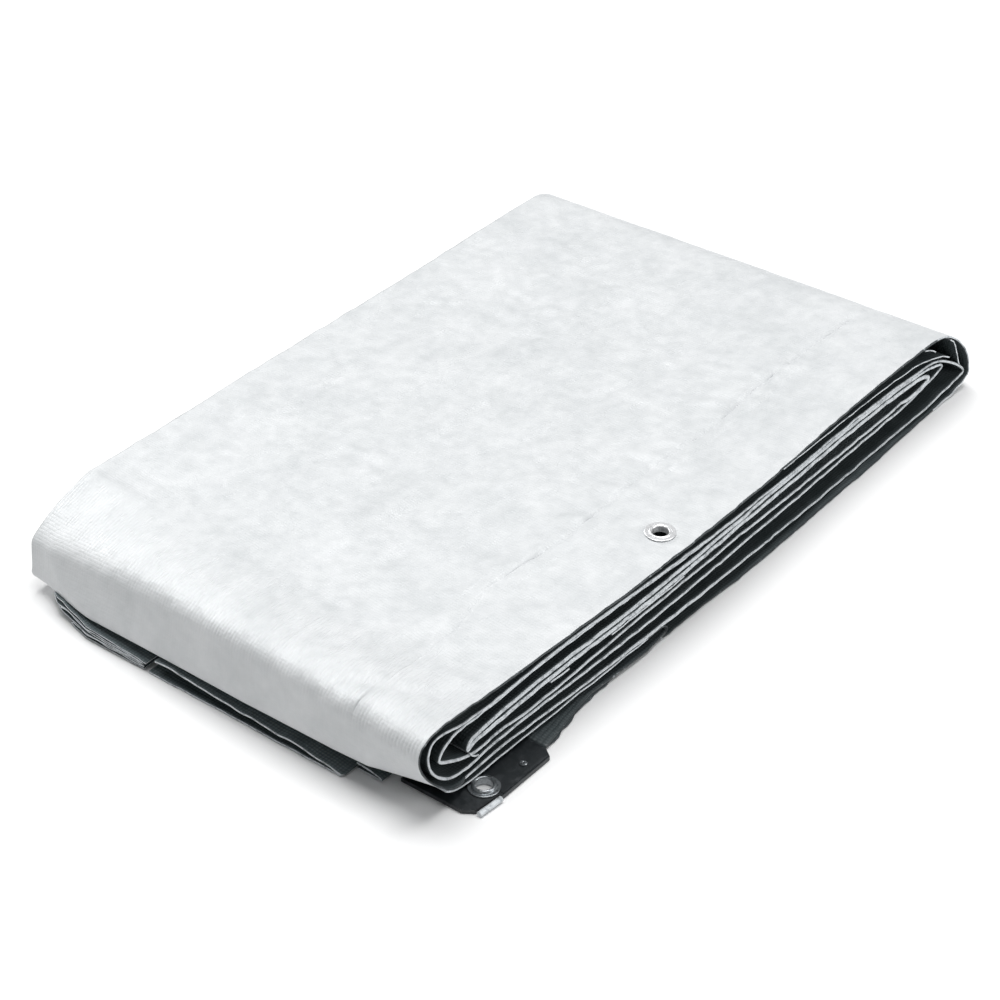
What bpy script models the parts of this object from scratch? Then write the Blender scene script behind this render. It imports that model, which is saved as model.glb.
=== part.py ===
"""Folded tarpaulin: one woven sheet, silver outside and black inside, folded flat in many plies.

The pack lies on its lowest ply. X runs along the pack, from the front fold to the back fold,
Y runs across it from the edge where the plies show, and Z is up. The tables are in millimetres.
"""
import math

import bmesh
import bpy
import numpy as np

MM = 0.001                  # metres in a millimetre
GAP = 0.3                   # clearance between pieces that touch

# Driving sizes of the pack
PACK_WIDTH = 375.0          # across the folds, edge to edge
SHEET = 1.6                 # thickness of one ply
LIP_STEPS = 3               # stretches along the pleated end's upper edge
LIP_HANDLE = 8.0            # how far that edge runs level before it bends
MITRE_LIMIT = 0.75          # keeps the sheet's thickness round a tight fold
SHARP_ANGLE = 40.0          # degrees between faces where an edge stays crisp

# Hem strip on top, which holds the eyelet
HEM_FRONT = 50.0            # x of the strip's front end
HEM_BACK = 598.0            # x of its back end
HEM_WIDTH = 65.0            # from the open edge to the hem's inner seam
HEM_SHEET = 2.0             # thickness of the doubled cloth
HEM_ROWS = (0.0, 6.0, 29.0, 47.0, HEM_WIDTH)
SEAM_WAVE = 3.5             # how far the inner seam wanders
SEAM_WAVE_LENGTH = 560.0
SEAM_WAVE_START = 120.0
SEAM_FADE = 160.0           # y where the seam's wandering has died out

# Open edge, where the plies show
EDGE_MEAN = -2.3
EDGE_WAVE = 3.5
EDGE_WAVE_LENGTH = 520.0
EDGE_WAVE_START = 280.0
CORNER_FLARE = 11.0         # how far the lowest ply stands out beside the corner patch
FLARE_FRONT = 98.0
FLARE_BACK = 165.0
FLARE_DEPTH = 20.0          # y where the flare has died out

# How the front and back folds change across the pack
NOSE_SKEW = 22.0            # the front fold draws back by this at the far edge
NOSE_REACH = 260.0          # x where that has died out
TAIL_SKEW = 13.0            # the back fold draws in by this
TAIL_START = 400.0
TAIL_REACH = 250.0
CHAMFER = 13.0              # how far the front fold's upper corner sinks at the far edge
CHAMFER_START = 50.0
CHAMFER_REACH = 60.0
CREST_HEIGHT = 70.0

# Eyelets
EYELET_HOLE = 6.0           # radius of the opening
EYELET_BARREL = 6.8         # outer radius of the barrel
EYELET_FLANGE = 11.0        # outer radius of the flange
EYELET_FLANGE_THICK = 0.9
EYELET_RIM_THICK = 0.3
EYELET_RIM = 1.8            # width of the flange's sloping rim
EYELET_ROLL = 1.7           # width of the rolled mouth
EYELET_SEAT = EYELET_BARREL + GAP
EYELET_FOOT = 0.2           # height of the corner eyelet's barrel above the floor
EYELET_SIDES = 24
WASHER_RADIUS = 9.5
WASHER_THICK = 0.7
TOP_EYELET = (264.0, 17.5)
TOP_EYELET_LIP = 1.7        # height of its rolled mouth above the cloth
CORNER_EYELET = (43.0, -5.4)
CORNER_EYELET_LIP = 3.2

# Corner patch
PATCH_THICK = 3.0
PATCH_LIP = 0.7             # height of the raised edge line
PATCH_LIP_INSET = 0.8       # from the outer edge to the line
PATCH_LIP_WIDTH = 2.4
PATCH_LEFT = 17.0
PATCH_RIGHT = 98.0
PATCH_BACK = 42.0
PATCH_FRONT = -20.0
PATCH_TIP = ((17.0, -8.0), (22.5, -15.4), (43.0, -17.2), (43.4, -20.0))
PATCH_END = ((93.0, -20.0), (98.0, -13.0))
RIVET = (76.6, -11.0)
RIVET_RADIUS = 2.7
RIVET_HEIGHT = 1.0
RIVET_RIM = 0.5             # height of its rim, and radius of its dimple
RIVET_DISH = 1.2            # radius where the dish starts
RIVET_SIDES = 16

# Hem roll at the corner's tip
ROLL_RADIUS = 2.0
ROLL_SIDES = 12
ROLL_START = (21.5, -18.6)
ROLL_END = (42.0, -20.2)

# Places along the pack where each ply's height is stated, and the least stretch from one to a ply's end
STATIONS = (60.0, 100.0, 140.0, 200.0, 260.0, 320.0, 380.0, 440.0, 500.0, 550.0)
STATION_CLEAR = 8.0
FLOOR_HEIGHT = 0.8
UNDER_HEIGHT = 2.9

# One row for each ply, in order along the sheet: its front and back ends, the height of its middle there,
# and how far its open edge is set back
PLY_COLUMNS = ("name", "front_x", "front_z", "back_x", "back_z", "edge_y")
PLIES = (
    ("lap", 42.0, 6.2, 236.0, 12.0, 2.0),
    ("under", 112.0, UNDER_HEIGHT, 236.0, UNDER_HEIGHT, 0.6),
    ("floor", 112.0, FLOOR_HEIGHT, 600.0, FLOOR_HEIGHT, 0.0),
    ("top", HEM_FRONT - GAP, 67.6, HEM_BACK + GAP, 65.8, 0.0),
    ("belly", 26.0, 11.9, 600.0, 6.2, 1.2),
    ("second", 30.0, 57.6, 600.0, 45.3, 1.6),
    ("third", 30.0, 19.7, 578.0, 27.4, 0.9),
    ("fourth", 46.0, 41.0, 578.0, 44.3, 1.4),
    ("fifth", 46.0, 37.4, 562.0, 41.6, 0.4),
    ("sixth", 50.0, 27.2, 562.0, 29.4, 1.8),
    ("inmost", 30.0, 55.0, 335.0, 53.2, 2.6),
)

# Heights of each ply's middle at the stations that it passes. A ply that ends before the last station
# has fewer, and one whose front end moves from section to section has none at the first two.
PLY_HEIGHTS = {
    "lap": (6.8, 7.6, 8.8, 11.0),
    "under": (None, None, UNDER_HEIGHT, UNDER_HEIGHT),
    "floor": (None, None) + (FLOOR_HEIGHT,) * (len(STATIONS) - 2),
    "top": (67.0, 66.8, 66.5, 66.6, 66.9, 66.6, 65.8, 65.8, 66.0, 66.1),
    "belly": (15.0, 15.0, 14.0, 14.6, 14.3, 12.8, 9.6, 6.2, 4.3, 4.8),
    "second": (56.2, 59.1, 60.4, 60.6, 58.7, 56.4, 53.6, 51.3, 49.7, 48.0),
    "third": (23.0, 24.5, 24.7, 26.0, 27.5, 28.4, 27.1, 25.3, 24.3, 25.0),
    "fourth": (42.8, 45.7, 47.0, 48.0, 50.2, 51.2, 50.6, 48.5, 47.0, 45.5),
    "fifth": (38.6, 41.3, 43.2, 44.2, 46.0, 47.4, 46.4, 44.6, 43.2, 41.9),
    "sixth": (28.2, 27.3, 29.6, 34.6, 37.0, 37.3, 34.3, 30.9, 28.7, 28.8),
    "inmost": (53.6, 56.5, 57.8, 58.0, 56.1, 53.8),
}

# One row for each fold between two plies. The fold runs out to its tip, and each arm has the reach of
# its handle along X, its rise beside the ply, and its drop at the tip.
FOLD_COLUMNS = ("name", "tip_x", "tip_z", "upper_run", "upper_rise", "upper_drop",
                "lower_run", "lower_rise", "lower_drop", "steps")
FOLDS = (
    ("lap_back", 246.0, 7.4, 6.0, 0.0, 2.5, 6.0, 0.0, 2.5, 2),
    ("floor_front", 0.0, 1.85, 0.9, 0.0, 0.6, 0.9, 0.0, 0.6, 2),
    ("outer_back", 651.0, 13.0, 20.0, 0.0, 25.0, 28.0, 0.0, 6.0, 4),
    ("outer_front", -13.2, 56.0, 46.0, 6.4, 16.0, 11.0, 0.6, 15.0, 6),
    ("belly_back", 647.0, 14.5, 10.0, -1.5, 5.0, 20.0, 4.0, 1.5, 4),
    ("second_front", -3.0, 51.0, 20.0, 8.0, 15.0, 14.0, -1.0, 16.0, 5),
    ("third_back", 611.0, 36.5, 16.0, -1.0, 3.0, 18.0, 3.4, 2.2, 3),
    ("hem_end", 36.3, 34.2, 7.0, -0.8, 4.0, 5.0, -0.8, 1.6, 3),
    ("fifth_back", 592.0, 34.6, 16.0, -0.6, 4.0, 18.0, 1.4, 2.0, 3),
    ("inner_front", 8.5, 42.5, 8.0, 0.4, 8.0, 16.0, -1.5, 1.5, 4),
)

# One row for each section across the pack: how far forward the pleated end's lower fold reaches, where
# its upper edge lies, and how far that edge dips. The sheet's width is the last row's y.
SECTION_COLUMNS = ("y", "fold_x", "lip_x", "lip_z", "lip_dip")
SECTIONS = (
    (0.0, 99.2, 16.0, 13.0, 6.0),
    (20.0, 99.2, 16.0, 13.0, 6.0),
    (44.0, 99.2, 16.0, 13.0, 6.0),
    (50.0, 9.0, 11.0, 6.6, 0.0),
    (HEM_WIDTH + GAP, 9.0, 11.5, 7.0, 0.0),
    (72.0, 9.0, 12.0, 7.4, 0.0),
    (74.5, -5.3, -0.5, 5.6, 0.0),
    (113.0, -4.7, 1.0, 7.6, 0.0),
    (160.0, -5.2, 1.0, 9.6, 0.0),
    (205.0, -3.8, 1.0, 11.6, 0.0),
    (246.0, -2.6, 2.0, 13.0, 0.0),
    (249.0, -4.2, -2.0, 7.6, 0.0),
    (283.0, -4.8, -1.0, 10.4, 0.0),
    (306.0, -5.0, 0.0, 12.4, 0.0),
    (331.0, 1.0, 2.0, 14.6, 0.0),
    (347.0, 8.0, 9.0, 14.4, 0.0),
    (PACK_WIDTH, 30.0, 32.0, 13.2, 0.0),
)


def table(columns, rows):
    """The rows as dictionaries that are read by column name."""
    return [dict(zip(columns, row)) for row in rows]


def smooth(t):
    """A soft step from 0 to 1."""
    t = np.clip(t, 0.0, 1.0)
    return t * t * (3.0 - 2.0 * t)


def ply_stations(ply):
    """The ply's places and heights, from its front end to its back end."""
    places = [(ply["front_x"], ply["front_z"])]
    for x, z in zip(STATIONS, PLY_HEIGHTS[ply["name"]]):
        if z is not None and ply["front_x"] + STATION_CLEAR < x < ply["back_x"] - STATION_CLEAR:
            places.append((x, z))
    places.append((ply["back_x"], ply["back_z"]))
    return places


def ply_height(ply, x):
    """Height of a ply's middle at x, straight from one station to the next."""
    places = ply_stations(ply)
    return float(np.interp(x, [place[0] for place in places], [place[1] for place in places]))


def bezier(p0, p1, p2, p3, steps):
    """Points of a cubic from p0 to p3, both ends included."""
    points = []
    for i in range(steps + 1):
        t = i / steps
        s = 1.0 - t
        points.append(tuple(s * s * s * a + 3 * s * s * t * b + 3 * s * t * t * c + t * t * t * d
                            for a, b, c, d in zip(p0, p1, p2, p3)))
    return points


def fold_points(fold, upper, lower):
    """Points round a fold, from the upper ply's end to the lower ply's end."""
    tip = (fold["tip_x"], fold["tip_z"])
    out = 1.0 if fold["tip_x"] > upper[0] else -1.0
    upper_handle = (upper[0] + out * fold["upper_run"], upper[1] + fold["upper_rise"])
    lower_handle = (lower[0] + out * fold["lower_run"], lower[1] + fold["lower_rise"])
    upper_arm = bezier(upper, upper_handle, (tip[0], tip[1] + fold["upper_drop"]), tip, fold["steps"])
    lower_arm = bezier(tip, (tip[0], tip[1] - fold["lower_drop"]), lower_handle, lower, fold["steps"])
    return upper_arm + lower_arm[1:]


def section_path(section):
    """The sheet's middle line in one section: points (x, z), with each point's ply name."""
    plies = {ply["name"]: ply for ply in table(PLY_COLUMNS, PLIES)}
    folds = {fold["name"]: dict(fold) for fold in table(FOLD_COLUMNS, FOLDS)}
    for name in ("under", "floor"):
        plies[name]["front_x"] = section["fold_x"] + 2.0 * SHEET
    folds["floor_front"]["tip_x"] = section["fold_x"]

    def front(name):
        return (plies[name]["front_x"], plies[name]["front_z"])

    def back(name):
        return (plies[name]["back_x"], plies[name]["back_z"])

    path = []

    def add(points, name):
        path.extend((x, z, name) for x, z in points)

    def run(name, forward):
        between = ply_stations(plies[name])[1:-1]
        add(between if forward else between[::-1], name)

    # The pleated end: its free edge, back under the belly, and forward again on the floor
    lip = (section["lip_x"], section["lip_z"])
    start = front("lap")
    lip_handle = (lip[0] + LIP_HANDLE, lip[1] - section["lip_dip"])
    add(bezier(lip, lip_handle, (start[0] - LIP_HANDLE, start[1]), start, LIP_STEPS), "lap")
    run("lap", True)
    add(fold_points(folds["lap_back"], back("lap"), back("under")), "lap")
    run("under", False)
    add(fold_points(folds["floor_front"], front("under"), front("floor")), "floor")

    # The outer wrap: the floor, the back fold, the top, the front fold and the belly
    run("floor", True)
    add(reversed(fold_points(folds["outer_back"], back("top"), back("floor"))), "wrap")
    run("top", False)
    add(fold_points(folds["outer_front"], front("top"), front("belly")), "nose")
    run("belly", True)

    # The second turn of the pack, inside the wrap
    add(reversed(fold_points(folds["belly_back"], back("second"), back("belly"))), "second")
    run("second", False)
    add(fold_points(folds["second_front"], front("second"), front("third")), "second")
    run("third", True)

    # The inner plies
    add(reversed(fold_points(folds["third_back"], back("fourth"), back("third"))), "third")
    run("fourth", False)
    add(fold_points(folds["hem_end"], front("fourth"), front("fifth")), "fourth")
    run("fifth", True)
    add(fold_points(folds["fifth_back"], back("fifth"), back("sixth")), "fifth")
    run("sixth", False)
    add(reversed(fold_points(folds["inner_front"], front("inmost"), front("sixth"))), "sixth")
    run("inmost", True)
    add([back("inmost")], "inmost")
    return path


def edge_y(x, row_y, ply):
    """Where a section at row_y lies at x: the open edge and the hem's seam both wander."""
    wave = EDGE_MEAN - EDGE_WAVE * math.cos(2.0 * math.pi * (x - EDGE_WAVE_START) / EDGE_WAVE_LENGTH)
    edge = (wave + ply["edge_y"]) * (1.0 - min(row_y / HEM_WIDTH, 1.0))
    if ply["name"] in ("floor", "under"):
        flare = CORNER_FLARE * (1.0 - float(smooth((x - FLARE_FRONT) / (FLARE_BACK - FLARE_FRONT))))
        edge -= flare * (1.0 - min(row_y / FLARE_DEPTH, 1.0))
    seam = SEAM_WAVE * math.cos(2.0 * math.pi * (x - SEAM_WAVE_START) / SEAM_WAVE_LENGTH)
    if row_y < HEM_WIDTH:
        seam *= row_y / HEM_WIDTH
    else:
        seam *= max(0.0, 1.0 - (row_y - HEM_WIDTH) / (SEAM_FADE - HEM_WIDTH))
    return row_y + edge + seam


def warp(x, row_y, z, name):
    """A point of the first section as it lies at row_y, where the folds are skewed and sunk."""
    across = row_y / PACK_WIDTH
    skewed_x = x - TAIL_SKEW * across * float(smooth((x - TAIL_START) / TAIL_REACH))
    if name in ("lap", "under", "floor"):
        return skewed_x, z
    skewed_x += NOSE_SKEW * across * (1.0 - float(smooth(x / NOSE_REACH)))
    sunk = CHAMFER * across ** 3 * float(np.clip((CHAMFER_START - x) / CHAMFER_REACH, 0.0, 1.0))
    return skewed_x, z - sunk * z / CREST_HEIGHT


def named_ply(name):
    """The ply table's row for a path point; a fold takes the row of a ply that it joins."""
    joined = {"wrap": "top", "nose": "top"}.get(name, name)
    return next(ply for ply in table(PLY_COLUMNS, PLIES) if ply["name"] == joined)


def section_faces(path, row_y, thickness):
    """Outer and inner points of the sheet in one section, offset to each side of its middle line."""
    line = np.array([warp(x, row_y, z, name) for x, z, name in path])
    step = np.diff(line, axis=0)
    step /= np.linalg.norm(step, axis=1)[:, None]
    along = np.vstack([step[:1], step[:-1] + step[1:], step[-1:]])
    along /= np.linalg.norm(along, axis=1)[:, None]
    lean = np.ones(len(line))
    lean[1:-1] = 1.0 / np.clip((along[1:-1] * step[1:]).sum(axis=1), MITRE_LIMIT, 1.0)
    side = np.stack([along[:, 1], -along[:, 0]], axis=1) * (thickness / 2.0 * lean)[:, None]
    across = np.array([edge_y(x, row_y, named_ply(name)) for x, z, name in path])

    def placed(plan):
        return np.stack([plan[:, 0], across, plan[:, 1]], axis=1) * MM

    return placed(line + side), placed(line - side)


def thick_sheet(outer, inner, present):
    """Vertices and faces of a closed sheet between two grids, for the cells that are present."""
    rows, columns = outer.shape[:2]
    grids = np.stack([outer, inner]).reshape(-1, 3)

    def vertex(layer, r, c):
        return layer * rows * columns + r * columns + c

    faces = []
    for r in range(rows - 1):
        for c in range(columns - 1):
            if not present(r, c):
                continue
            faces.append([vertex(0, r, c), vertex(0, r, c + 1), vertex(0, r + 1, c + 1), vertex(0, r + 1, c)])
            faces.append([vertex(1, r, c), vertex(1, r + 1, c), vertex(1, r + 1, c + 1), vertex(1, r, c + 1)])
            borders = (
                ((r - 1, c), (r, c + 1), (r, c)),
                ((r + 1, c), (r + 1, c), (r + 1, c + 1)),
                ((r, c - 1), (r, c), (r + 1, c)),
                ((r, c + 1), (r + 1, c + 1), (r, c + 1)),
            )
            for beside, a, b in borders:
                inside = 0 <= beside[0] < rows - 1 and 0 <= beside[1] < columns - 1
                if inside and present(*beside):
                    continue
                faces.append([vertex(0, *a), vertex(0, *b), vertex(1, *b), vertex(1, *a)])
    used = sorted({index for face in faces for index in face})
    number = {index: i for i, index in enumerate(used)}
    return [tuple(grids[index]) for index in used], [[number[index] for index in face] for face in faces]


def material(name, colour, roughness, metallic):
    """A Principled material."""
    made = bpy.data.materials.new(name)
    made.use_nodes = True
    shader = made.node_tree.nodes["Principled BSDF"]
    shader.inputs["Base Color"].default_value = (*colour, 1.0)
    shader.inputs["Roughness"].default_value = roughness
    shader.inputs["Metallic"].default_value = metallic
    return made


def mesh_object(name, vertices, faces, made_of):
    """An object from vertices and faces, with its normals turned out."""
    mesh = bpy.data.meshes.new(name)
    mesh.from_pydata(vertices, [], faces)
    work = bmesh.new()
    work.from_mesh(mesh)
    bmesh.ops.recalc_face_normals(work, faces=work.faces)
    work.to_mesh(mesh)
    work.free()
    mesh.materials.append(made_of)
    mesh.shade_smooth()
    mesh.set_sharp_from_angle(angle=math.radians(SHARP_ANGLE))
    made = bpy.data.objects.new(name, mesh)
    bpy.context.collection.objects.link(made)
    return made


def turned(name, profile, centre, sides, made_of):
    """A closed ring turned about Z from a closed profile of (radius, height) points."""
    vertices = []
    for i in range(sides):
        angle = 2.0 * math.pi * i / sides
        for radius, height in profile:
            vertices.append(((centre[0] + radius * math.cos(angle)) * MM,
                             (centre[1] + radius * math.sin(angle)) * MM, height * MM))
    count = len(profile)
    faces = []
    for i in range(sides):
        ahead = (i + 1) % sides
        for k in range(count):
            after = (k + 1) % count
            faces.append([i * count + k, ahead * count + k, ahead * count + after, i * count + after])
    return mesh_object(name, vertices, faces, made_of)


def bored(target, centre, radius):
    """Cut an upright round hole through a piece."""
    bpy.ops.mesh.primitive_cylinder_add(
        vertices=EYELET_SIDES, radius=radius * MM, depth=PACK_WIDTH * MM,
        location=(centre[0] * MM, centre[1] * MM, 0.0))
    cutter = bpy.context.object
    cutter.name = target.name + "_hole"
    cutter.hide_render = True
    cutter.display_type = "WIRE"
    cut = target.modifiers.new("hole", "BOOLEAN")
    cut.operation = "DIFFERENCE"
    cut.solver = "EXACT"
    cut.object = cutter
    return cutter


def make_sheet(made_of):
    """The folded sheet: one section for each row, with the hem strip's place left open on top."""
    sections = table(SECTION_COLUMNS, SECTIONS)
    paths = [section_path(section) for section in sections]
    pairs = [section_faces(path, section["y"], SHEET) for path, section in zip(paths, sections)]
    outer = np.array([pair[0] for pair in pairs])
    inner = np.array([pair[1] for pair in pairs])
    names = [name for x, z, name in paths[0]]
    strip_start = names.index("top") - 1
    strip_end = strip_start + len(ply_stations(named_ply("top"))) - 1

    def present(row, column):
        return not (sections[row]["y"] < HEM_WIDTH and strip_start <= column < strip_end)

    vertices, faces = thick_sheet(outer, inner, present)
    return mesh_object("tarp_sheet", vertices, faces, made_of)


def make_hem(made_of):
    """The strip of doubled cloth along the open edge on top, bored for its eyelet."""
    ply = named_ply("top")
    places = [HEM_FRONT] + [x for x, z in ply_stations(ply)[1:-1]] + [HEM_BACK]
    levels = {1: [], -1: []}
    for row_y in HEM_ROWS:
        line = {1: [], -1: []}
        for x in places:
            height = ply_height(ply, x) + SHEET / 2.0
            warped_x, top = warp(x, row_y, height, "top")
            y = edge_y(x, row_y, ply)
            line[1].append((warped_x * MM, y * MM, top * MM))
            line[-1].append((warped_x * MM, y * MM, (top - HEM_SHEET) * MM))
        for level, points in line.items():
            levels[level].append(points)
    vertices, faces = thick_sheet(np.array(levels[1]), np.array(levels[-1]), lambda row, column: True)
    hem = mesh_object("top_hem", vertices, faces, made_of)
    return hem, bored(hem, TOP_EYELET, EYELET_SEAT)


def make_eyelet(name, centre, face, lip, foot, made_of):
    """A set eyelet: its flange lies on the cloth's face, and its barrel reaches down to its foot."""
    seat = face + GAP
    profile = [
        (EYELET_HOLE, face + lip - EYELET_ROLL / 2.0),
        (EYELET_HOLE + EYELET_ROLL / 3.0, face + lip),
        (EYELET_HOLE + EYELET_ROLL, face + lip),
        (EYELET_FLANGE - EYELET_RIM, seat + EYELET_FLANGE_THICK),
        (EYELET_FLANGE, seat + EYELET_RIM_THICK),
        (EYELET_FLANGE, seat),
        (EYELET_BARREL, seat),
    ]
    return turned(name, profile + foot, centre, EYELET_SIDES, made_of)


def make_top_eyelet(made_of):
    """The hem's eyelet, with the washer that it is set over under the cloth."""
    face = ply_height(named_ply("top"), TOP_EYELET[0]) + SHEET / 2.0
    under = face - HEM_SHEET - GAP
    washer = [
        (EYELET_BARREL, under),
        (WASHER_RADIUS, under),
        (WASHER_RADIUS, under - WASHER_THICK),
        (EYELET_HOLE, under - WASHER_THICK),
    ]
    return make_eyelet("top_eyelet", TOP_EYELET, face, TOP_EYELET_LIP, washer, made_of)


def make_corner_eyelet(made_of):
    """The patch's eyelet, with its barrel reaching down through the plate."""
    barrel = [(EYELET_BARREL, EYELET_FOOT), (EYELET_HOLE, EYELET_FOOT)]
    return make_eyelet("corner_eyelet", CORNER_EYELET, PATCH_THICK, CORNER_EYELET_LIP, barrel, made_of)


def make_patch(made_of):
    """The corner patch: a flat plate with a raised line along its outer edge, bored for its eyelet."""
    outline = ((PATCH_LEFT, PATCH_BACK),) + PATCH_TIP + PATCH_END + ((PATCH_RIGHT, PATCH_BACK),)
    line_front = PATCH_FRONT + PATCH_LIP_INSET
    line_back = line_front + PATCH_LIP_WIDTH
    line_left = PATCH_TIP[-1][0] + PATCH_LIP_WIDTH
    line_right = PATCH_END[0][0]
    lip = ((line_left, line_back), (line_left, line_front), (line_right, line_front), (line_right, line_back))
    work = bmesh.new()

    def ring(points, z):
        return [work.verts.new((x * MM, y * MM, z * MM)) for x, y in points]

    def wall(low, high):
        for i in range(len(low)):
            j = (i + 1) % len(low)
            work.faces.new((low[i], low[j], high[j], high[i]))

    lower = ring(outline, 0.0)
    upper = ring(outline, PATCH_THICK)
    foot = ring(lip, PATCH_THICK)
    crest = ring(lip, PATCH_THICK + PATCH_LIP)
    work.faces.new(lower[::-1])
    wall(lower, upper)
    wall(foot, crest)
    work.faces.new(crest)
    # The plate's upper face runs round the foot of the raised line
    back_left, left, tip_a, tip_b, tip_c, end_a, end_b, back_right = upper
    work.faces.new((back_right, back_left, left, tip_a, tip_b, foot[0], foot[3]))
    work.faces.new((tip_b, tip_c, foot[1], foot[0]))
    work.faces.new((tip_c, end_a, foot[2], foot[1]))
    work.faces.new((end_a, end_b, back_right, foot[3], foot[2]))
    mesh = bpy.data.meshes.new("corner_patch")
    bmesh.ops.recalc_face_normals(work, faces=work.faces)
    work.to_mesh(mesh)
    work.free()
    mesh.materials.append(made_of)
    patch = bpy.data.objects.new("corner_patch", mesh)
    bpy.context.collection.objects.link(patch)
    return patch, bored(patch, CORNER_EYELET, EYELET_SEAT)


def make_rivet(made_of):
    """A low round stud on the patch, turned as a dished button."""
    base = PATCH_THICK + GAP
    profile = [
        (RIVET_RIM, base),
        (RIVET_RADIUS, base),
        (RIVET_RADIUS, base + RIVET_RIM),
        (RIVET_RADIUS - RIVET_RIM, base + RIVET_HEIGHT),
        (RIVET_DISH, base + RIVET_HEIGHT),
        (RIVET_RIM, base + RIVET_RIM),
    ]
    return turned("corner_rivet", profile, RIVET, RIVET_SIDES, made_of)


def make_roll(made_of):
    """The round end of the roped hem, lying level along the patch's cut corner."""
    bpy.ops.mesh.primitive_cylinder_add(vertices=ROLL_SIDES, radius=ROLL_RADIUS * MM, depth=1.0)
    roll = bpy.context.object
    roll.name = "hem_roll"
    start = np.array(ROLL_START) * MM
    end = np.array(ROLL_END) * MM
    length = float(np.linalg.norm(end - start))
    for vertex in roll.data.vertices:
        vertex.co.z *= length
    roll.rotation_euler = (0.0, math.pi / 2.0, math.atan2(end[1] - start[1], end[0] - start[0]))
    roll.location = (*((start + end) / 2.0), ROLL_RADIUS * MM)
    roll.data.materials.append(made_of)
    roll.data.shade_smooth()
    roll.data.set_sharp_from_angle(angle=math.radians(SHARP_ANGLE))
    return roll


def place_on_origin(objects):
    """Parent everything to one empty and put the pack's plan centre and lowest face at the origin."""
    bpy.context.view_layer.update()
    corners = []
    for made in objects:
        if made.display_type != "WIRE":
            corners += [made.matrix_world @ vertex.co for vertex in made.data.vertices]
    points = np.array(corners)
    low = points.min(axis=0)
    high = points.max(axis=0)
    frame = bpy.data.objects.new("pack_frame", None)
    bpy.context.collection.objects.link(frame)
    for made in objects:
        made.parent = frame
    frame.location = (-(low[0] + high[0]) / 2.0, -(low[1] + high[1]) / 2.0, -low[2])


def main():
    for old in list(bpy.data.objects):
        bpy.data.objects.remove(old, do_unlink=True)
    cloth = material("silver_tarpaulin", (0.78, 0.79, 0.80), 0.42, 0.1)
    plastic = material("black_plastic", (0.02, 0.025, 0.027), 0.4, 0.0)
    metal = material("eyelet_aluminium", (0.82, 0.83, 0.84), 0.3, 1.0)
    dark_metal = material("eyelet_dark", (0.3, 0.31, 0.32), 0.35, 1.0)
    roll_film = material("silver_film", (0.84, 0.85, 0.86), 0.4, 0.1)

    sheet = make_sheet(cloth)
    hem, hem_hole = make_hem(cloth)
    top_eyelet = make_top_eyelet(metal)
    patch, patch_hole = make_patch(plastic)
    corner_eyelet = make_corner_eyelet(dark_metal)
    rivet = make_rivet(dark_metal)
    roll = make_roll(roll_film)
    place_on_origin([sheet, hem, hem_hole, top_eyelet, patch, patch_hole, corner_eyelet, rivet, roll])


main()
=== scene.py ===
"""Looks of the folded tarpaulin: the woven sheet on its folds, its pleated end, eyelets and corner.

Sizes are in millimetres in the pack's own frame. X runs along the pack from the front fold, Y runs across
it from the edge where the plies show, and Z is up. placed() takes points to the row frame, in metres.
"""
import math

import bmesh
import bpy
import numpy as np
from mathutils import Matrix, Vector


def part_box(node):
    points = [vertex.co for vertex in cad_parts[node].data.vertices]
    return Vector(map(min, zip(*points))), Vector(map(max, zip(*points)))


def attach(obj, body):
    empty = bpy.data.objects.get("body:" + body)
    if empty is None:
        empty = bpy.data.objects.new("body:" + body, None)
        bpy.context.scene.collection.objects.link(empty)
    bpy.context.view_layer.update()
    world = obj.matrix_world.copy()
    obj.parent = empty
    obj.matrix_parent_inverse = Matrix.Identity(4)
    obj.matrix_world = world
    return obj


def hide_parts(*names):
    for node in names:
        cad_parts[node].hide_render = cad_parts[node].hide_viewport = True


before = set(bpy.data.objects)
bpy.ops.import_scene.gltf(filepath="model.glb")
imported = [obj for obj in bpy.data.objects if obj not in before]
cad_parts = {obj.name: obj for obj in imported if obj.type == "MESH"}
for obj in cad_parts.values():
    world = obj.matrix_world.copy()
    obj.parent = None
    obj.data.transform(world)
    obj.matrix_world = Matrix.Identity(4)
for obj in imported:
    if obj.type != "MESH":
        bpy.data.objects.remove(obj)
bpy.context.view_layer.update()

MM = 0.001
BODY = "root"

# Sizes of the pack, as its solids have them
PACK_WIDTH = 375.0
SHEET = 1.4                 # thickness of the cloth
HEM_SHEET = 2.0             # thickness of the doubled cloth along the open edge on top
HEM_WIDTH = 65.0
EDGE_EXTRA = {"fourth": 1.0, "fifth": 1.0, "sixth": 0.5, "third": 0.35, "second": 0.3, "inmost": 0.25,
              "belly": 0.25}         # how much each ply's open edge is thickened on either side
HEM_FRONT = 49.7
HEM_BACK = 598.3
EDGE_MEAN = -2.3
EDGE_WAVE = 3.5
EDGE_WAVE_LENGTH = 520.0
EDGE_WAVE_START = 280.0
SEAM_WAVE = 3.5
SEAM_WAVE_LENGTH = 560.0
SEAM_WAVE_START = 120.0
SEAM_FADE = 160.0
CORNER_FLARE = 11.0
FLARE_FRONT = 98.0
FLARE_BACK = 165.0
FLARE_DEPTH = 20.0
FLOOR_RAGGED = 260.0        # the floor ply's edge is more ragged in front of this
FLOOR_EDGE = ((165, 0), (200, 2.7), (290, 2.7), (330, 0), (400, -2), (500, -4), (560, -2), (600, 0))
NOSE_SKEW = 27.0
NOSE_REACH = 260.0
SKEW_LEAST = 0.6            # share of the skew that the front fold's lowest part takes
SKEW_HEIGHT = 10.0          # above this height the share grows, up to the whole of it
SKEW_RISE = 48.0
SKEW_FAR = 0.78             # past this share of the width it grows too
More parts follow.
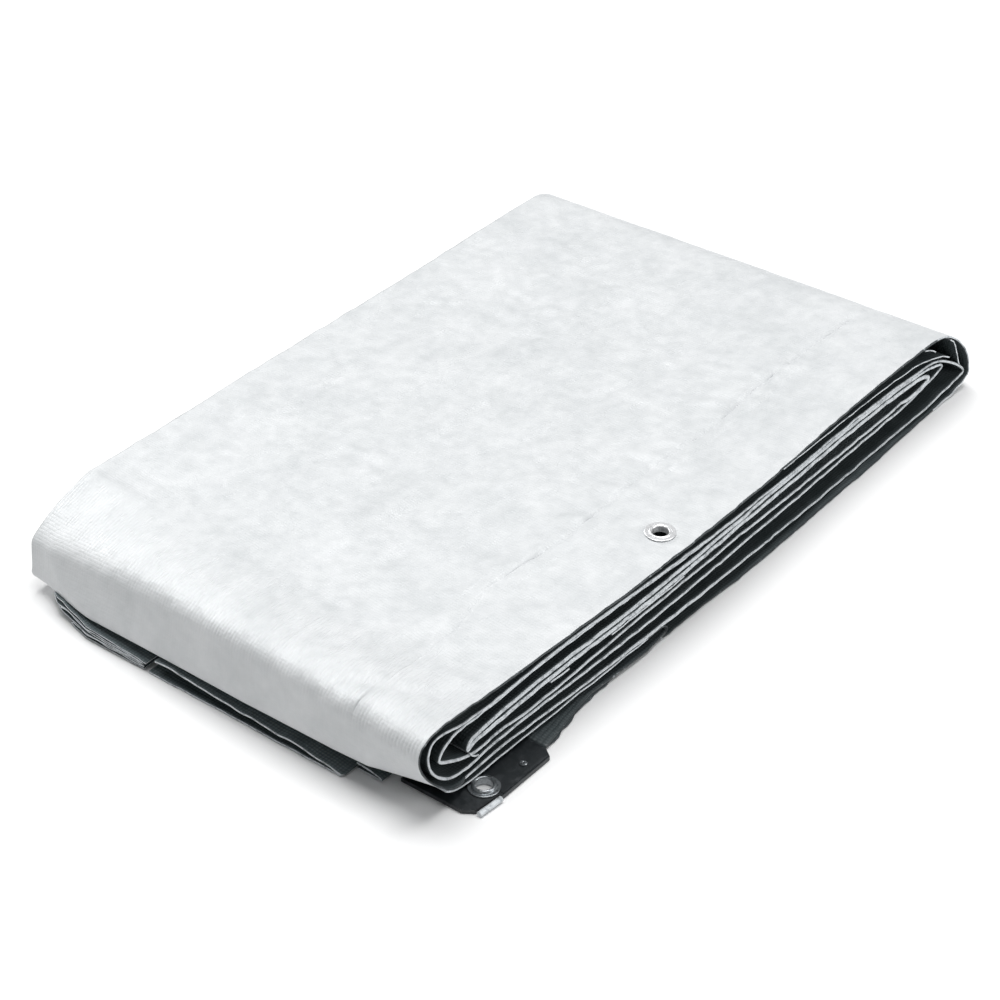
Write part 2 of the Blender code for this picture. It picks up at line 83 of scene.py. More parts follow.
SKEW_FAR_GAIN = 1.2
TAIL_SKEW = 13.0
TAIL_START = 400.0
TAIL_REACH = 250.0
CHAMFER = 22.0
CHAMFER_START = 50.0
CHAMFER_REACH = 60.0
CREST_HEIGHT = 70.0
EYELET_HOLE = 6.0
EYELET_BARREL = 6.8
EYELET_FLANGE = 11.0
EYELET_SEAT = 7.1
HOLE_MARGIN = 1.2           # cells this near the seat are left out of the sheet
HOLE_REACH = 7.0            # and only corners this near it are drawn in to the hole
TOP_EYELET = (264.0, 17.5)
CORNER_EYELET = (43.0, -5.4)
PATCH_THICK = 3.0

# Camera, where the photograph was taken from
CAMERA_PLACE = (-1015.09, -855.56, 1181.0)
CAMERA_AZIMUTH = -51.65
CAMERA_ELEVATION = 35.1
CAMERA_LENS = 100.8
SENSOR = 36.0

box_low, box_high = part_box("corner_eyelet")
ORIGIN = np.array([(box_low.x + box_high.x) / 2 - CORNER_EYELET[0] * MM,
                   (box_low.y + box_high.y) / 2 - CORNER_EYELET[1] * MM, 0.0])

# Places along the pack where each ply's height is stated, and the least stretch from one to a ply's end
STATIONS = (60, 100, 140, 200, 260, 320, 380, 440, 500, 550)
STATION_CLEAR = 8.0
FLOOR_HEIGHT = 0.8
UNDER_HEIGHT = 2.9

# One row for each ply, in order along the sheet: its front and back ends, the height of its middle there,
# and how far its open edge is set back
PLY_COLUMNS = ("name", "front_x", "front_z", "back_x", "back_z", "edge_y")
PLIES = (
    ("lap", 42, 6.2, 236, 12, 2),
    ("under", 112, UNDER_HEIGHT, 236, UNDER_HEIGHT, 0.6),
    ("floor", 112, FLOOR_HEIGHT, 600, FLOOR_HEIGHT, 0),
    ("top", HEM_FRONT, 67.6, HEM_BACK, 65.8, 0),
    ("belly", 26, 11.9, 600, 6.2, 1.2),
    ("second", 30, 57.6, 600, 45.3, 1.6),
    ("third", 30, 19.7, 578, 27.4, 0.9),
    ("fourth", 46, 41, 578, 44.3, 1.4),
    ("fifth", 46, 37.4, 562, 41.6, 0.4),
    ("sixth", 50, 27.2, 562, 29.4, 1.8),
    ("inmost", 30, 55, 335, 53.2, 2.6),
)

# Heights of each ply's middle at the stations that it passes. A ply that ends before the last station
# has fewer, and one whose front end moves from section to section has none at the first two.
PLY_HEIGHTS = {
    "lap": (6.8, 7.6, 8.8, 11),
    "under": (None, None, UNDER_HEIGHT, UNDER_HEIGHT),
    "floor": (None, None) + (FLOOR_HEIGHT,) * (len(STATIONS) - 2),
    "top": (67, 66.8, 66.5, 66.6, 66.9, 66.6, 65.8, 65.8, 66, 66.1),
    "belly": (15, 15, 14, 14.6, 14.3, 12.8, 9.6, 6.2, 4.3, 4.8),
    "second": (56.2, 59.1, 60.4, 60.6, 58.7, 56.4, 53.6, 51.3, 49.7, 48),
    "third": (23, 24.5, 24.7, 26, 27.5, 28.4, 27.1, 25.3, 24.3, 25),
    "fourth": (42.8, 45.7, 47, 48, 50.2, 51.2, 50.6, 48.5, 47, 45.5),
    "fifth": (38.6, 41.3, 43.2, 44.2, 46, 47.4, 46.4, 44.6, 43.2, 41.9),
    "sixth": (28.2, 27.3, 29.6, 34.6, 37, 37.3, 34.3, 30.9, 28.7, 28.8),
    "inmost": (53.6, 56.5, 57.8, 58, 56.1, 53.8),
}

# One row for each fold between two plies, with the reach and the lean of its two arms
FOLD_COLUMNS = ("name", "tip_x", "tip_z", "upper_run", "upper_rise", "upper_drop",
                "lower_run", "lower_rise", "lower_drop", "steps")
FOLDS = (
    ("lap_back", 246, 7.4, 6, 0, 2.5, 6, 0, 2.5, 4),
    ("floor_front", 0, 1.85, 0.9, 0, 0.6, 0.9, 0, 0.6, 4),
    ("outer_back", 651, 13, 20, 0, 25, 28, 0, 6, 26),
    ("outer_front", -13.2, 56, 46, 6.4, 16, 11, 0.6, 15, 28),
    ("belly_back", 647, 14.5, 10, -1.5, 5, 20, 4, 1.5, 12),
    ("second_front", -3, 51, 20, 8, 15, 14, -1, 16, 14),
    ("third_back", 611, 36.5, 16, -1, 3, 18, 3.4, 2.2, 9),
    ("hem_end", 36.3, 34.2, 7, -0.8, 4, 5, -0.8, 1.6, 8),
    ("fifth_back", 592, 34.6, 16, -0.6, 4, 18, 1.4, 2, 8),
    ("inner_front", 8.5, 42.5, 8, 0.4, 8, 16, -1.5, 1.5, 10),
)

# One row for each place across the pack where the sheet's free end changes. Its pleats are sheets of their
# own, and full says how squarely the front fold stands, which its open edge does least.
SECTION_COLUMNS = ("y", "fold_x", "lip_x", "lip_z", "lip_dip", "full")
SECTIONS = (
    (0, 99.2, 16, 13, 6, 0),
    (20, 99.2, 16, 13, 6, 0.3),
    (44, 99.2, 16, 13, 6, 0.7),
    (52, 52, 44, 6.4, 0, 0.85),
    (80, 52, 44, 6.4, 0, 1),
    (160, 54, 45, 6.4, 0, 1.25),
    (PACK_WIDTH, 62, 50, 6.4, 0, 1.55),
)
FULL_RUN = 29.0             # how much further the squared fold's lower arm runs level
FULL_DROP = 17.0            # and how much further its front drops straight

# Rows of points across the pack, coarse ones, and the widest stretch between fine ones
COARSE_ROWS = (0, 1, 2.6, 5.4, 17, 31, 44, 52, 66, *range(80, 336, 15), 349, 361, 369.6, 372.4, 374,
               PACK_WIDTH)
FINE_STEP = 2.6
SEAM_ROWS = (52.0, 80.0)     # rows where the hem's seam runs, which lie closer
SEAM_STEP = 1.3
COARSE_STEP = 6.0
PLY_STEP = {"lap": 12.0, "under": 14.0, "top": 2.6}
CREST_END = -0.235          # metres, where the tapes' stronger relief has died out
CREST_FULL = -0.285
CREST_LOW = 0.052
CREST_HIGH = 0.064
RIB_PITCH = 0.0028
RIB_HEIGHT = 6.0            # against the weave's own
TAPE_PITCH = 0.0024         # metres from one tape of the weave to the next
TAPE_CROWN = 0.35           # how flat a tape is, flatter for a smaller number
TOP_PLY = 3                 # the top ply's row in the table
FINE_GROUP = 4              # fine columns in a coarse one
WRAP = ("wrap", "top", "nose")
LIP_LEVEL = 0.72            # how far out from its middle a turned edge's lip lies, against half the thickness
LIP_REACH = 0.45            # how far the lip and the groove stand past the edge
GROOVE_REACH = 0.12
SMOOTH_PASSES = 10
OUTER_EASE = 0.5            # how much of the smoothing the two outer plies take, and the plies inside them
INNER_EASE = 0.12
RELIEF_LIMIT = 1.9          # no wrinkle is higher or deeper than this
BACKING = 1.6               # how much lower the wrap's hidden inner face lies, clear of the wrinkles
BACKING_START = 5.0         # it lies lower from this far inside the open edges on, and fully after the reach
BACKING_REACH = 9.0
RELIEF = 2.3                # how strongly the silver face is wrinkled

# Layers of a sheet, and the places of its materials in its list
OUTER = 0
INNER = 1
RIM = 2
SILVER_SLOT = 0
BLACK_SLOT = 1
EDGE_SLOT = 2
DARK_SLOT = 3

# Where along the pack a ply's outer face is silver, and where its open edge is dark: on the under ply and on
# the lap's back end that dark is painted shade for their recess
FLOOR_SILVER = 130.0
BELLY_SILVER = 45.0
FIFTH_SILVER = (180.0, 560.0)
WRAP_DARK = 600.0
BELLY_DARK = 22.0
LAP_PAINTED_SHADE = 222.0

# Creases of the silver face, listed one by one: from, to, height (a trough is below nought) and half width.
# X is measured along the cloth, so it goes on past the front crest to numbers below nought.
CREASE_COLUMNS = ("x0", "y0", "x1", "y1", "height", "width")
CREASES = (
    (167, 295, 192, 291, -0.55, 5), (192, 291, 225, 278, -0.7, 5), (165, 271, 195, 260, -0.7, 5),
    (195, 260, 223, 254, -0.6, 4.5), (222, 258, 221, 210, -0.5, 3), (200, 283, 226, 277, 0.5, 5),
    (232, 296, 235, 265, -0.4, 3.5), (226, 250, 234, 215, 0.35, 5),
    (260, 210, 340, 212, -0.5, 4), (262, 218, 335, 220, 0.3, 6), (405, 212, 512, 210, -0.4, 4),
    (160, 169, 211, 172, -0.7, 5), (162, 178, 208, 181, 0.35, 6), (260, 172, 296, 167, -0.5, 4),
    (300, 157, 336, 155, -0.4, 4), (390, 152, 412, 147, -0.35, 3.5),
    (417, 342, 432, 318, -0.55, 3), (445, 319, 468, 341, -0.5, 3.5), (432, 318, 446, 319, 0.5, 4),
    (432, 316, 437, 293, -0.4, 3), (437, 293, 434, 264, -0.45, 3.5), (467, 275, 479, 303, -0.6, 3),
    (472, 273, 484, 300, 0.35, 4), (452, 300, 449, 270, 0.4, 5), (420, 256, 435, 234, -0.35, 3.5),
    (520, 355, 530, 324, -0.4, 4), (524, 250, 535, 220, -0.35, 4), (548, 300, 556, 276, 0.3, 4),
    (275, 338, 270, 321, -0.4, 3.5), (270, 321, 312, 319, -0.45, 4), (312, 319, 321, 344, -0.4, 3),
    (305, 350, 309, 334, 0.4, 3.5), (202, 318, 268, 316, -0.4, 4), (210, 332, 222, 341, 0.35, 4),
    (160, 325, 163, 306, -0.45, 3), (176, 322, 184, 315, -0.35, 3.5), (100, 278, 132, 276, -0.35, 4.5),
    (55, 310, 156, 308, -0.3, 1.8), (69, 246, 69, 95, -0.22, 1.6), (82, 372, 82, 310, -0.25, 1.8),
    (30, 237, 62, 238, -0.35, 3), (32, 213, 64, 212, -0.35, 3), (35, 273, 47, 262, -0.35, 3),
    (28, 286, 60, 288, 0.3, 5), (34, 198, 58, 200, 0.3, 4), (75, 115, 102, 116, -0.35, 4),
    (115, 142, 152, 140, -0.35, 5), (118, 152, 150, 151, 0.3, 5), (128, 185, 130, 130, -0.18, 1.6),
    (175, 98, 201, 91, -0.35, 4), (205, 128, 236, 122, -0.3, 4), (250, 140, 262, 128, 0.3, 4),
    (330, 92, 335, 46, -0.55, 3), (341, 90, 345, 52, 0.45, 4), (322, 88, 324, 60, 0.35, 4),
    (422, 98, 430, 78, 0.8, 4.5), (436, 92, 441, 62, -0.4, 3), (412, 84, 418, 62, 0.35, 3.5),
    (245, 82, 252, 64, 0.5, 3.5), (257, 80, 262, 66, -0.4, 3), (364, 84, 372, 66, 0.4, 4),
    (380, 82, 388, 58, -0.35, 3), (455, 76, 462, 56, 0.4, 4), (470, 74, 478, 58, -0.35, 3),
    (498, 76, 506, 58, 0.7, 4.5), (510, 74, 500, 56, -0.4, 2.6), (290, 84, 297, 64, 0.35, 4),
    (335, 26, 330, 7, -0.35, 4), (205, 52, 262, 44, -0.25, 5), (470, 40, 520, 32, 0.25, 7),
    (120, 60, 128, 30, 0.3, 7), (152, 50, 158, 20, -0.25, 6),
    (3, 78, 18, 60, -1.1, 4), (18, 60, 33, 16, -0.9, 5), (-8, 74, 4, 50, 0.6, 6),
    (12, 84, 44, 88, 0.4, 6),
    (65, 77, 96, 62, -0.8, 5), (70, 62, 100, 44, 0.5, 8), (33, 60, 62, 66, 0.5, 7),
    (48, 46, 60, 14, 0.4, 7), (74, 36, 86, 10, -0.3, 6),
    (22, 120, 34, 104, -0.35, 3), (14, 108, 24, 92, 0.3, 4),
)

# The hem's inner seam and the line of its turned edge, as (x, y) on the top face
SEAM_LINE = ((-30, 60), (30, 58), (97, 60), (147, 72), (175, 70), (220, 65.5), (280, 67), (340, 68.6),
             (405, 65.4), (455, 69.6), (500, 70.4), (555, 69), (597, 67.6))
TURN_LINE = ((147, 60), (180, 55.5), (245, 52), (330, 55), (422, 56), (455, 55.4), (505, 59))


def table(columns, rows):
    """The rows as dictionaries that are read by column name."""
    return [dict(zip(columns, row)) for row in rows]


def smooth(t):
    """A soft step from 0 to 1."""
    t = np.clip(t, 0.0, 1.0)
    return t * t * (3.0 - 2.0 * t)


def noise(u, v, seed):
    """Soft random bumps about one unit across, from -1 to 1, the same at each run."""
    lattice = np.random.default_rng(seed).uniform(-1.0, 1.0, (128, 128))
    iu = np.floor(u).astype(int)
    iv = np.floor(v).astype(int)
    fu = u - iu
    fv = v - iv
    fu = fu ** 3 * (fu * (fu * 6 - 15) + 10)
    fv = fv ** 3 * (fv * (fv * 6 - 15) + 10)
    iu0 = iu % 128
    iv0 = iv % 128
    iu1 = (iu + 1) % 128
    iv1 = (iv + 1) % 128
    near = lattice[iu0, iv0] * (1 - fu) + lattice[iu1, iv0] * fu
    far = lattice[iu0, iv1] * (1 - fu) + lattice[iu1, iv1] * fu
    return near * (1 - fv) + far * fv


def placed(points):
    """Points of the pack's frame, in millimetres, as the row frame has them."""
    return np.asarray(points, float) * MM + ORIGIN


def ply_places(ply):
    """The ply's places and heights, from its front end to its back end."""
    places = [(ply["front_x"], ply["front_z"])]
    for x, z in zip(STATIONS, PLY_HEIGHTS[ply["name"]]):
        if z is not None and ply["front_x"] + STATION_CLEAR < x < ply["back_x"] - STATION_CLEAR:
            places.append((x, z))
    places.append((ply["back_x"], ply["back_z"]))
    return np.array(places, float)


def ply_height(ply, x):
    """Height of a ply's middle at x, on a soft curve through its stated heights."""
    px, pz = ply_places(ply).T
    slope = np.gradient(pz, px)
    cell = np.clip(np.searchsorted(px, x, side="right") - 1, 0, len(px) - 2)
    width = px[cell + 1] - px[cell]
    t = np.clip((x - px[cell]) / width, 0.0, 1.0)
    start = (2 * t ** 3 - 3 * t ** 2 + 1) * pz[cell] + (t ** 3 - 2 * t ** 2 + t) * width * slope[cell]
    return start + (3 * t ** 2 - 2 * t ** 3) * pz[cell + 1] + (t ** 3 - t ** 2) * width * slope[cell + 1]


def bezier(p0, p1, p2, p3, steps):
    """Points of a cubic from p0 to p3, both ends included."""
    t = np.linspace(0.0, 1.0, steps + 1)[:, None]
    s = 1.0 - t
    p0, p1, p2, p3 = (np.array(p, float) for p in (p0, p1, p2, p3))
    return s ** 3 * p0 + 3 * s * s * t * p1 + 3 * s * t * t * p2 + t ** 3 * p3


def fold_points(fold, upper, lower):
    """Points round a fold, from the upper ply's end to the lower ply's end."""
    tip = (fold["tip_x"], fold["tip_z"])
    out = 1.0 if fold["tip_x"] > upper[0] else -1.0
    upper_handle = (upper[0] + out * fold["upper_run"], upper[1] + fold["upper_rise"])
    lower_handle = (lower[0] + out * fold["lower_run"], lower[1] + fold["lower_rise"])
    upper_arm = bezier(upper, upper_handle, (tip[0], tip[1] + fold["upper_drop"]), tip, fold["steps"])
    lower_arm = bezier(tip, (tip[0], tip[1] - fold["lower_drop"]), lower_handle, lower, fold["steps"])
    return np.vstack([upper_arm, lower_arm[1:]])


def section_path(section):
    """The sheet's middle line in one section: points (x, z), and each point's ply name."""
    plies = {ply["name"]: ply for ply in table(PLY_COLUMNS, PLIES)}
    folds = {fold["name"]: dict(fold) for fold in table(FOLD_COLUMNS, FOLDS)}
    steps = {name: int(round((ply["back_x"] - ply["front_x"]) / PLY_STEP.get(name, COARSE_STEP)))
             for name, ply in plies.items()}
    for name in ("under", "floor"):
        plies[name]["front_x"] = section["fold_x"] + 3.2
    folds["floor_front"]["tip_x"] = section["fold_x"]
    folds["outer_front"]["lower_run"] += FULL_RUN * section["full"]
    folds["outer_front"]["lower_drop"] += FULL_DROP * section["full"]
    points = []
    names = []

    def add(stretch, name):
        points.append(stretch)
        names.extend([name] * len(stretch))

    def end(name, side):
        return (plies[name][side + "_x"], plies[name][side + "_z"])

    def turn(fold, upper, lower, side, name, downward=True):
        """Add the fold between two plies, which starts at the lower one where it isn't downward."""
        way = fold_points(folds[fold], end(upper, side), end(lower, side))
        add(way if downward else way[::-1], name)

    def run(name, forward):
        ply = plies[name]
        x = np.linspace(ply["front_x"], ply["back_x"], steps[name] + 1)[1:-1]
        x = x if forward else x[::-1]
        add(np.stack([x, ply_height(ply, x)], axis=1), name)

    lip = (section["lip_x"], section["lip_z"])
    start = end("lap", "front")
    if lip[0] > start[0] - 8.0:
        start = (lip[0] + 8.0, start[1])
    reach = min(8.0, (start[0] - lip[0]) / 2.5)
    lip_handle = (lip[0] + reach, lip[1] - section["lip_dip"])
    add(bezier(lip, lip_handle, (start[0] - reach, start[1]), start, 10), "lap")
    plies["lap"]["front_x"] = start[0]
    run("lap", True)
    turn("lap_back", "lap", "under", "back", "lap")
    run("under", False)
    turn("floor_front", "under", "floor", "front", "floor")
    run("floor", True)
    turn("outer_back", "top", "floor", "back", "wrap", False)
    run("top", False)
    turn("outer_front", "top", "belly", "front", "nose")
    run("belly", True)
    turn("belly_back", "second", "belly", "back", "second", False)
    run("second", False)
    turn("second_front", "second", "third", "front", "second")
    run("third", True)
    turn("third_back", "fourth", "third", "back", "third", False)
    run("fourth", False)
    turn("hem_end", "fourth", "fifth", "front", "fourth")
    run("fifth", True)
    turn("fifth_back", "fifth", "sixth", "back", "fifth")
    run("sixth", False)
    turn("inner_front", "inmost", "sixth", "front", "sixth", False)
    run("inmost", True)
    add(np.array([end("inmost", "back")]), "inmost")
    return np.vstack(points), names


def crease_field(u, y):
    """Height of the listed creases at a place on the silver face."""
    height = np.zeros_like(u)
    for crease in table(CREASE_COLUMNS, CREASES):
        du = crease["x1"] - crease["x0"]
        dy = crease["y1"] - crease["y0"]
        length = math.hypot(du, dy)
        along = np.clip(((u - crease["x0"]) * du + (y - crease["y0"]) * dy) / length ** 2, 0.0, 1.0)
        wobble = 1.6 * np.sin(along * length / 7.0 + crease["x0"])
        off_u = u - crease["x0"] - along * du - wobble * dy / length
        off_y = y - crease["y0"] - along * dy + wobble * du / length
        near = np.exp(-(off_u ** 2 + off_y ** 2) / crease["width"] ** 2)
        fade = 1.0 - 0.75 * np.abs(2.0 * along - 1.0) ** 3
        height += crease["height"] * near * fade
    return height


def line_field(u, y, line, depth, width):
    """A sharp trough along a line of (x, y) points, deeper in some places than in others."""
    places = np.array(line, float)
    middle = np.interp(u, places[:, 0], places[:, 1])
    inside = smooth((u - places[0, 0]) / 12.0) * smooth((places[-1, 0] - u) / 12.0)
    uneven = 0.55 + 0.45 * noise(u / 16.0, 3.5, 41)
    return -depth * inside * uneven * np.exp(-((y - middle) / width) ** 2)


def silver_relief(u, y):
    """Height of the silver face above its smooth form: wide swells, crumples, creases and the hem's seam."""
    calm = 1.0 - 0.55 * smooth((u - 520.0) / 70.0) - 0.35 * smooth((40.0 - u) / 50.0)
    hem = smooth((62.0 - y) / 6.0)
    swell = 0.5 * noise(u / 85.0, y / 48.0, 5) + 0.28 * noise(u / 38.0 + 7.0, y / 24.0, 6)
    patchy = 0.6 + 0.4 * noise(u / 60.0 + 3.0, y / 40.0, 8)
    ridged = 1.0 - np.abs(noise(u / 17.0 + 0.3 * noise(u / 9.0, y / 9.0, 17), y / 11.0, 9)) * 2.0
    crumple = 0.26 * ridged + 0.16 * noise(u / 9.0, y / 6.5, 10) + 0.07 * noise(u / 4.6, y / 4.2, 11)
    relief = swell * (1.0 - 0.5 * hem) + crumple * patchy * (1.0 - 0.62 * hem)
    relief = relief * calm + crease_field(u, y)
    relief += line_field(u, y, SEAM_LINE, 0.95, 1.4) + line_field(u, y, TURN_LINE, 0.35, 1.6)
    return RELIEF_LIMIT * np.tanh(relief * RELIEF / RELIEF_LIMIT) + 0.25 * hem


def grid_normals(middle):
    """Unit normals of a grid of points, on the side that is outside where the sheet wraps the pack."""
    along = np.gradient(middle, axis=1)
    across = np.gradient(middle, axis=0)
    normal = np.cross(across, along)
    normal /= np.linalg.norm(normal, axis=2)[:, :, None]
    return normal, across / np.linalg.norm(across, axis=2)[:, :, None]


def closed_sheet(name, middle, half, under, lean, coarse_rows, coarse_columns, fine, gone, paint, cloth,
                 materials):
    """One closed mesh from a grid of middle points.

    half is half the thickness, and under lowers the inner face. lean has each point's normal and its way
    across. fine says, for the outer and the inner face, which coarse cells take all the rows and columns in
    them. gone marks small cells that are left out round a hole. paint has each layer's material by column,
    and cloth each point's place on the flat cloth.
    """
    rows, columns = middle.shape[:2]
    normal, across = lean
    layers = [middle + normal * half[:, :, None], middle - normal * (half + under)[:, :, None]]
    rims = []
    for row, side in ((0, -1.0), (rows - 1, 1.0)):
        reach = side * across[row]
        lip = normal[row] * half[row][:, None]
        rims.append([middle[row] + lip * LIP_LEVEL + reach * LIP_REACH, middle[row] + reach * GROOVE_REACH,
                     middle[row] - lip * LIP_LEVEL + reach * LIP_REACH])
    size = rows * columns
    vertices = [layer.reshape(-1, 3) for layer in layers]
    for rim in rims:
        vertices.extend(rim)
    vertices = np.concatenate(vertices)

    def index(layer, row, column):
        return layer * size + row * columns + column

    def rim_index(which, loop, column):
        return 2 * size + (which * 3 + loop) * columns + column

    faces = []
    slots = []
    row_cells = len(coarse_rows) - 1
    column_cells = len(coarse_columns) - 1

    def is_fine(layer, i, j):
        return 0 <= i < row_cells and 0 <= j < column_cells and fine[layer][i, j]

    for i in range(row_cells):
        r0, r1 = coarse_rows[i], coarse_rows[i + 1]
        for j in range(column_cells):
            c0, c1 = coarse_columns[j], coarse_columns[j + 1]
            for layer in (OUTER, INNER):
                if fine[layer][i, j]:
                    for row in range(r0, r1):
                        for column in range(c0, c1):
                            if gone[row, column]:
                                continue
                            faces.append([index(layer, row, column), index(layer, row, column + 1),
                                          index(layer, row + 1, column + 1), index(layer, row + 1, column)])
                            slots.append(paint[layer][column])
                    continue
                sides = (((i - 1, j), [(r0, column) for column in range(c0, c1)]),
                         ((i, j + 1), [(row, c1) for row in range(r0, r1)]),
                         ((i + 1, j), [(r1, column) for column in range(c1, c0, -1)]),
                         ((i, j - 1), [(row, c0) for row in range(r1, r0, -1)]))
                ring = []
                for beside, places in sides:
                    places = places if is_fine(layer, *beside) else places[:1]
                    ring += [index(layer, *place) for place in places]
                faces.append(ring)
                slots.append(paint[layer][c0])

    # The two open edges, each with a groove between the lips of its turned hem
    ends = ((0, 0), (1, rows - 1))
    for which, row in ends:
        for a in range(columns - 1):
            b = a + 1
            loops = [(index(OUTER, row, a), index(OUTER, row, b))]
            loops += [(rim_index(which, k, a), rim_index(which, k, b)) for k in range(3)]
            loops += [(index(INNER, row, a), index(INNER, row, b))]
            for first, second in zip(loops[:-1], loops[1:]):
                faces.append([first[0], first[1], second[1], second[0]])
                slots.append(paint[RIM][a])
    # The two ends of the path
    for column in (0, columns - 1):
        for i in range(row_cells):
            r0, r1 = coarse_rows[i], coarse_rows[i + 1]
            faces.append([index(OUTER, r0, column), index(OUTER, r1, column),
                          index(INNER, r1, column), index(INNER, r0, column)])
            slots.append(paint[RIM][column])
        for which, row in ends:
            faces.append([index(OUTER, row, column)] + [rim_index(which, k, column) for k in range(3)]
                         + [index(INNER, row, column)])
            slots.append(paint[RIM][column])
    # Walls round a hole
    for row, column in zip(*np.nonzero(gone)):
        beside = (((row - 1, column), (row, column), (row, column + 1)),
                  ((row + 1, column), (row + 1, column), (row + 1, column + 1)),
                  ((row, column - 1), (row, column), (row + 1, column)),
                  ((row, column + 1), (row, column + 1), (row + 1, column + 1)))
        for cell, a, b in beside:
            if not gone[cell]:
                faces.append([index(OUTER, *a), index(OUTER, *b), index(INNER, *b), index(INNER, *a)])
                slots.append(paint[RIM][column])

    used = np.zeros(len(vertices), bool)
    used[np.concatenate([np.array(face) for face in faces])] = True
    number = np.cumsum(used) - 1
    faces = [[int(number[i]) for i in face] for face in faces]
    rim_rows = (0, 0, 0, rows - 1, rows - 1, rows - 1)
    flat = np.concatenate([cloth.reshape(-1, 2)] * 2 + [cloth[row] for row in rim_rows])
    return cloth_mesh(name, vertices[used], faces, slots, flat[used], materials)


def cloth_mesh(name, vertices, faces, slots, flat, materials):
    """An object of cloth. slots has each face's material, and flat each point's place on the flat cloth."""
    mesh = bpy.data.meshes.new(name)
    mesh.from_pydata(placed(vertices).tolist(), [], faces)
    for made_of in materials:
        mesh.materials.append(made_of)
    mesh.polygons.foreach_set("material_index", np.array(slots, np.int32))
    cloth = np.zeros((len(vertices), 3), np.float32)
    cloth[:, :2] = flat * MM
    mesh.attributes.new("cloth", "FLOAT_VECTOR", "POINT").data.foreach_set("vector", cloth.ravel())
    corners = np.zeros(len(mesh.loops), np.int32)
    mesh.loops.foreach_get("vertex_index", corners)
    mesh.uv_layers.new(name="UVMap").data.foreach_set("uv", cloth[corners][:, :2].ravel())
    return shown(name, mesh)


def shown(name, mesh, smooth_angle=50.0):
    """An object from a mesh, with its faces turned out and shaded smooth."""
    work = bmesh.new()
    work.from_mesh(mesh)
    bmesh.ops.recalc_face_normals(work, faces=work.faces)
    work.to_mesh(mesh)
    work.free()
    mesh.shade_smooth()
    mesh.set_sharp_from_angle(angle=math.radians(smooth_angle))
    made = bpy.data.objects.new(name, mesh)
    bpy.context.collection.objects.link(made)
    return made


def fine_rows():
    """Every row's place across the pack, and which of them are coarse."""
    rows = []
    coarse = []
    for a, b in zip(COARSE_ROWS[:-1], COARSE_ROWS[1:]):
        coarse.append(len(rows))
        step = SEAM_STEP if SEAM_ROWS[0] <= a < SEAM_ROWS[1] else FINE_STEP
        count = max(1, math.ceil((b - a) / step)) if b - a > 4.0 else 1
        rows += [a + (b - a) * k / count for k in range(count)]
    coarse.append(len(rows))
    rows.append(COARSE_ROWS[-1])
    return np.array(rows), coarse


def cloth_lengths(line):
    """Distance along a line of points from its start."""
    return np.concatenate([[0.0], np.cumsum(np.linalg.norm(np.diff(line, axis=0), axis=1))])


def edge_wave(x):
    """How far the open edge wanders at a place along the pack."""
    return EDGE_MEAN - EDGE_WAVE * np.cos(2.0 * math.pi * (x - EDGE_WAVE_START) / EDGE_WAVE_LENGTH)


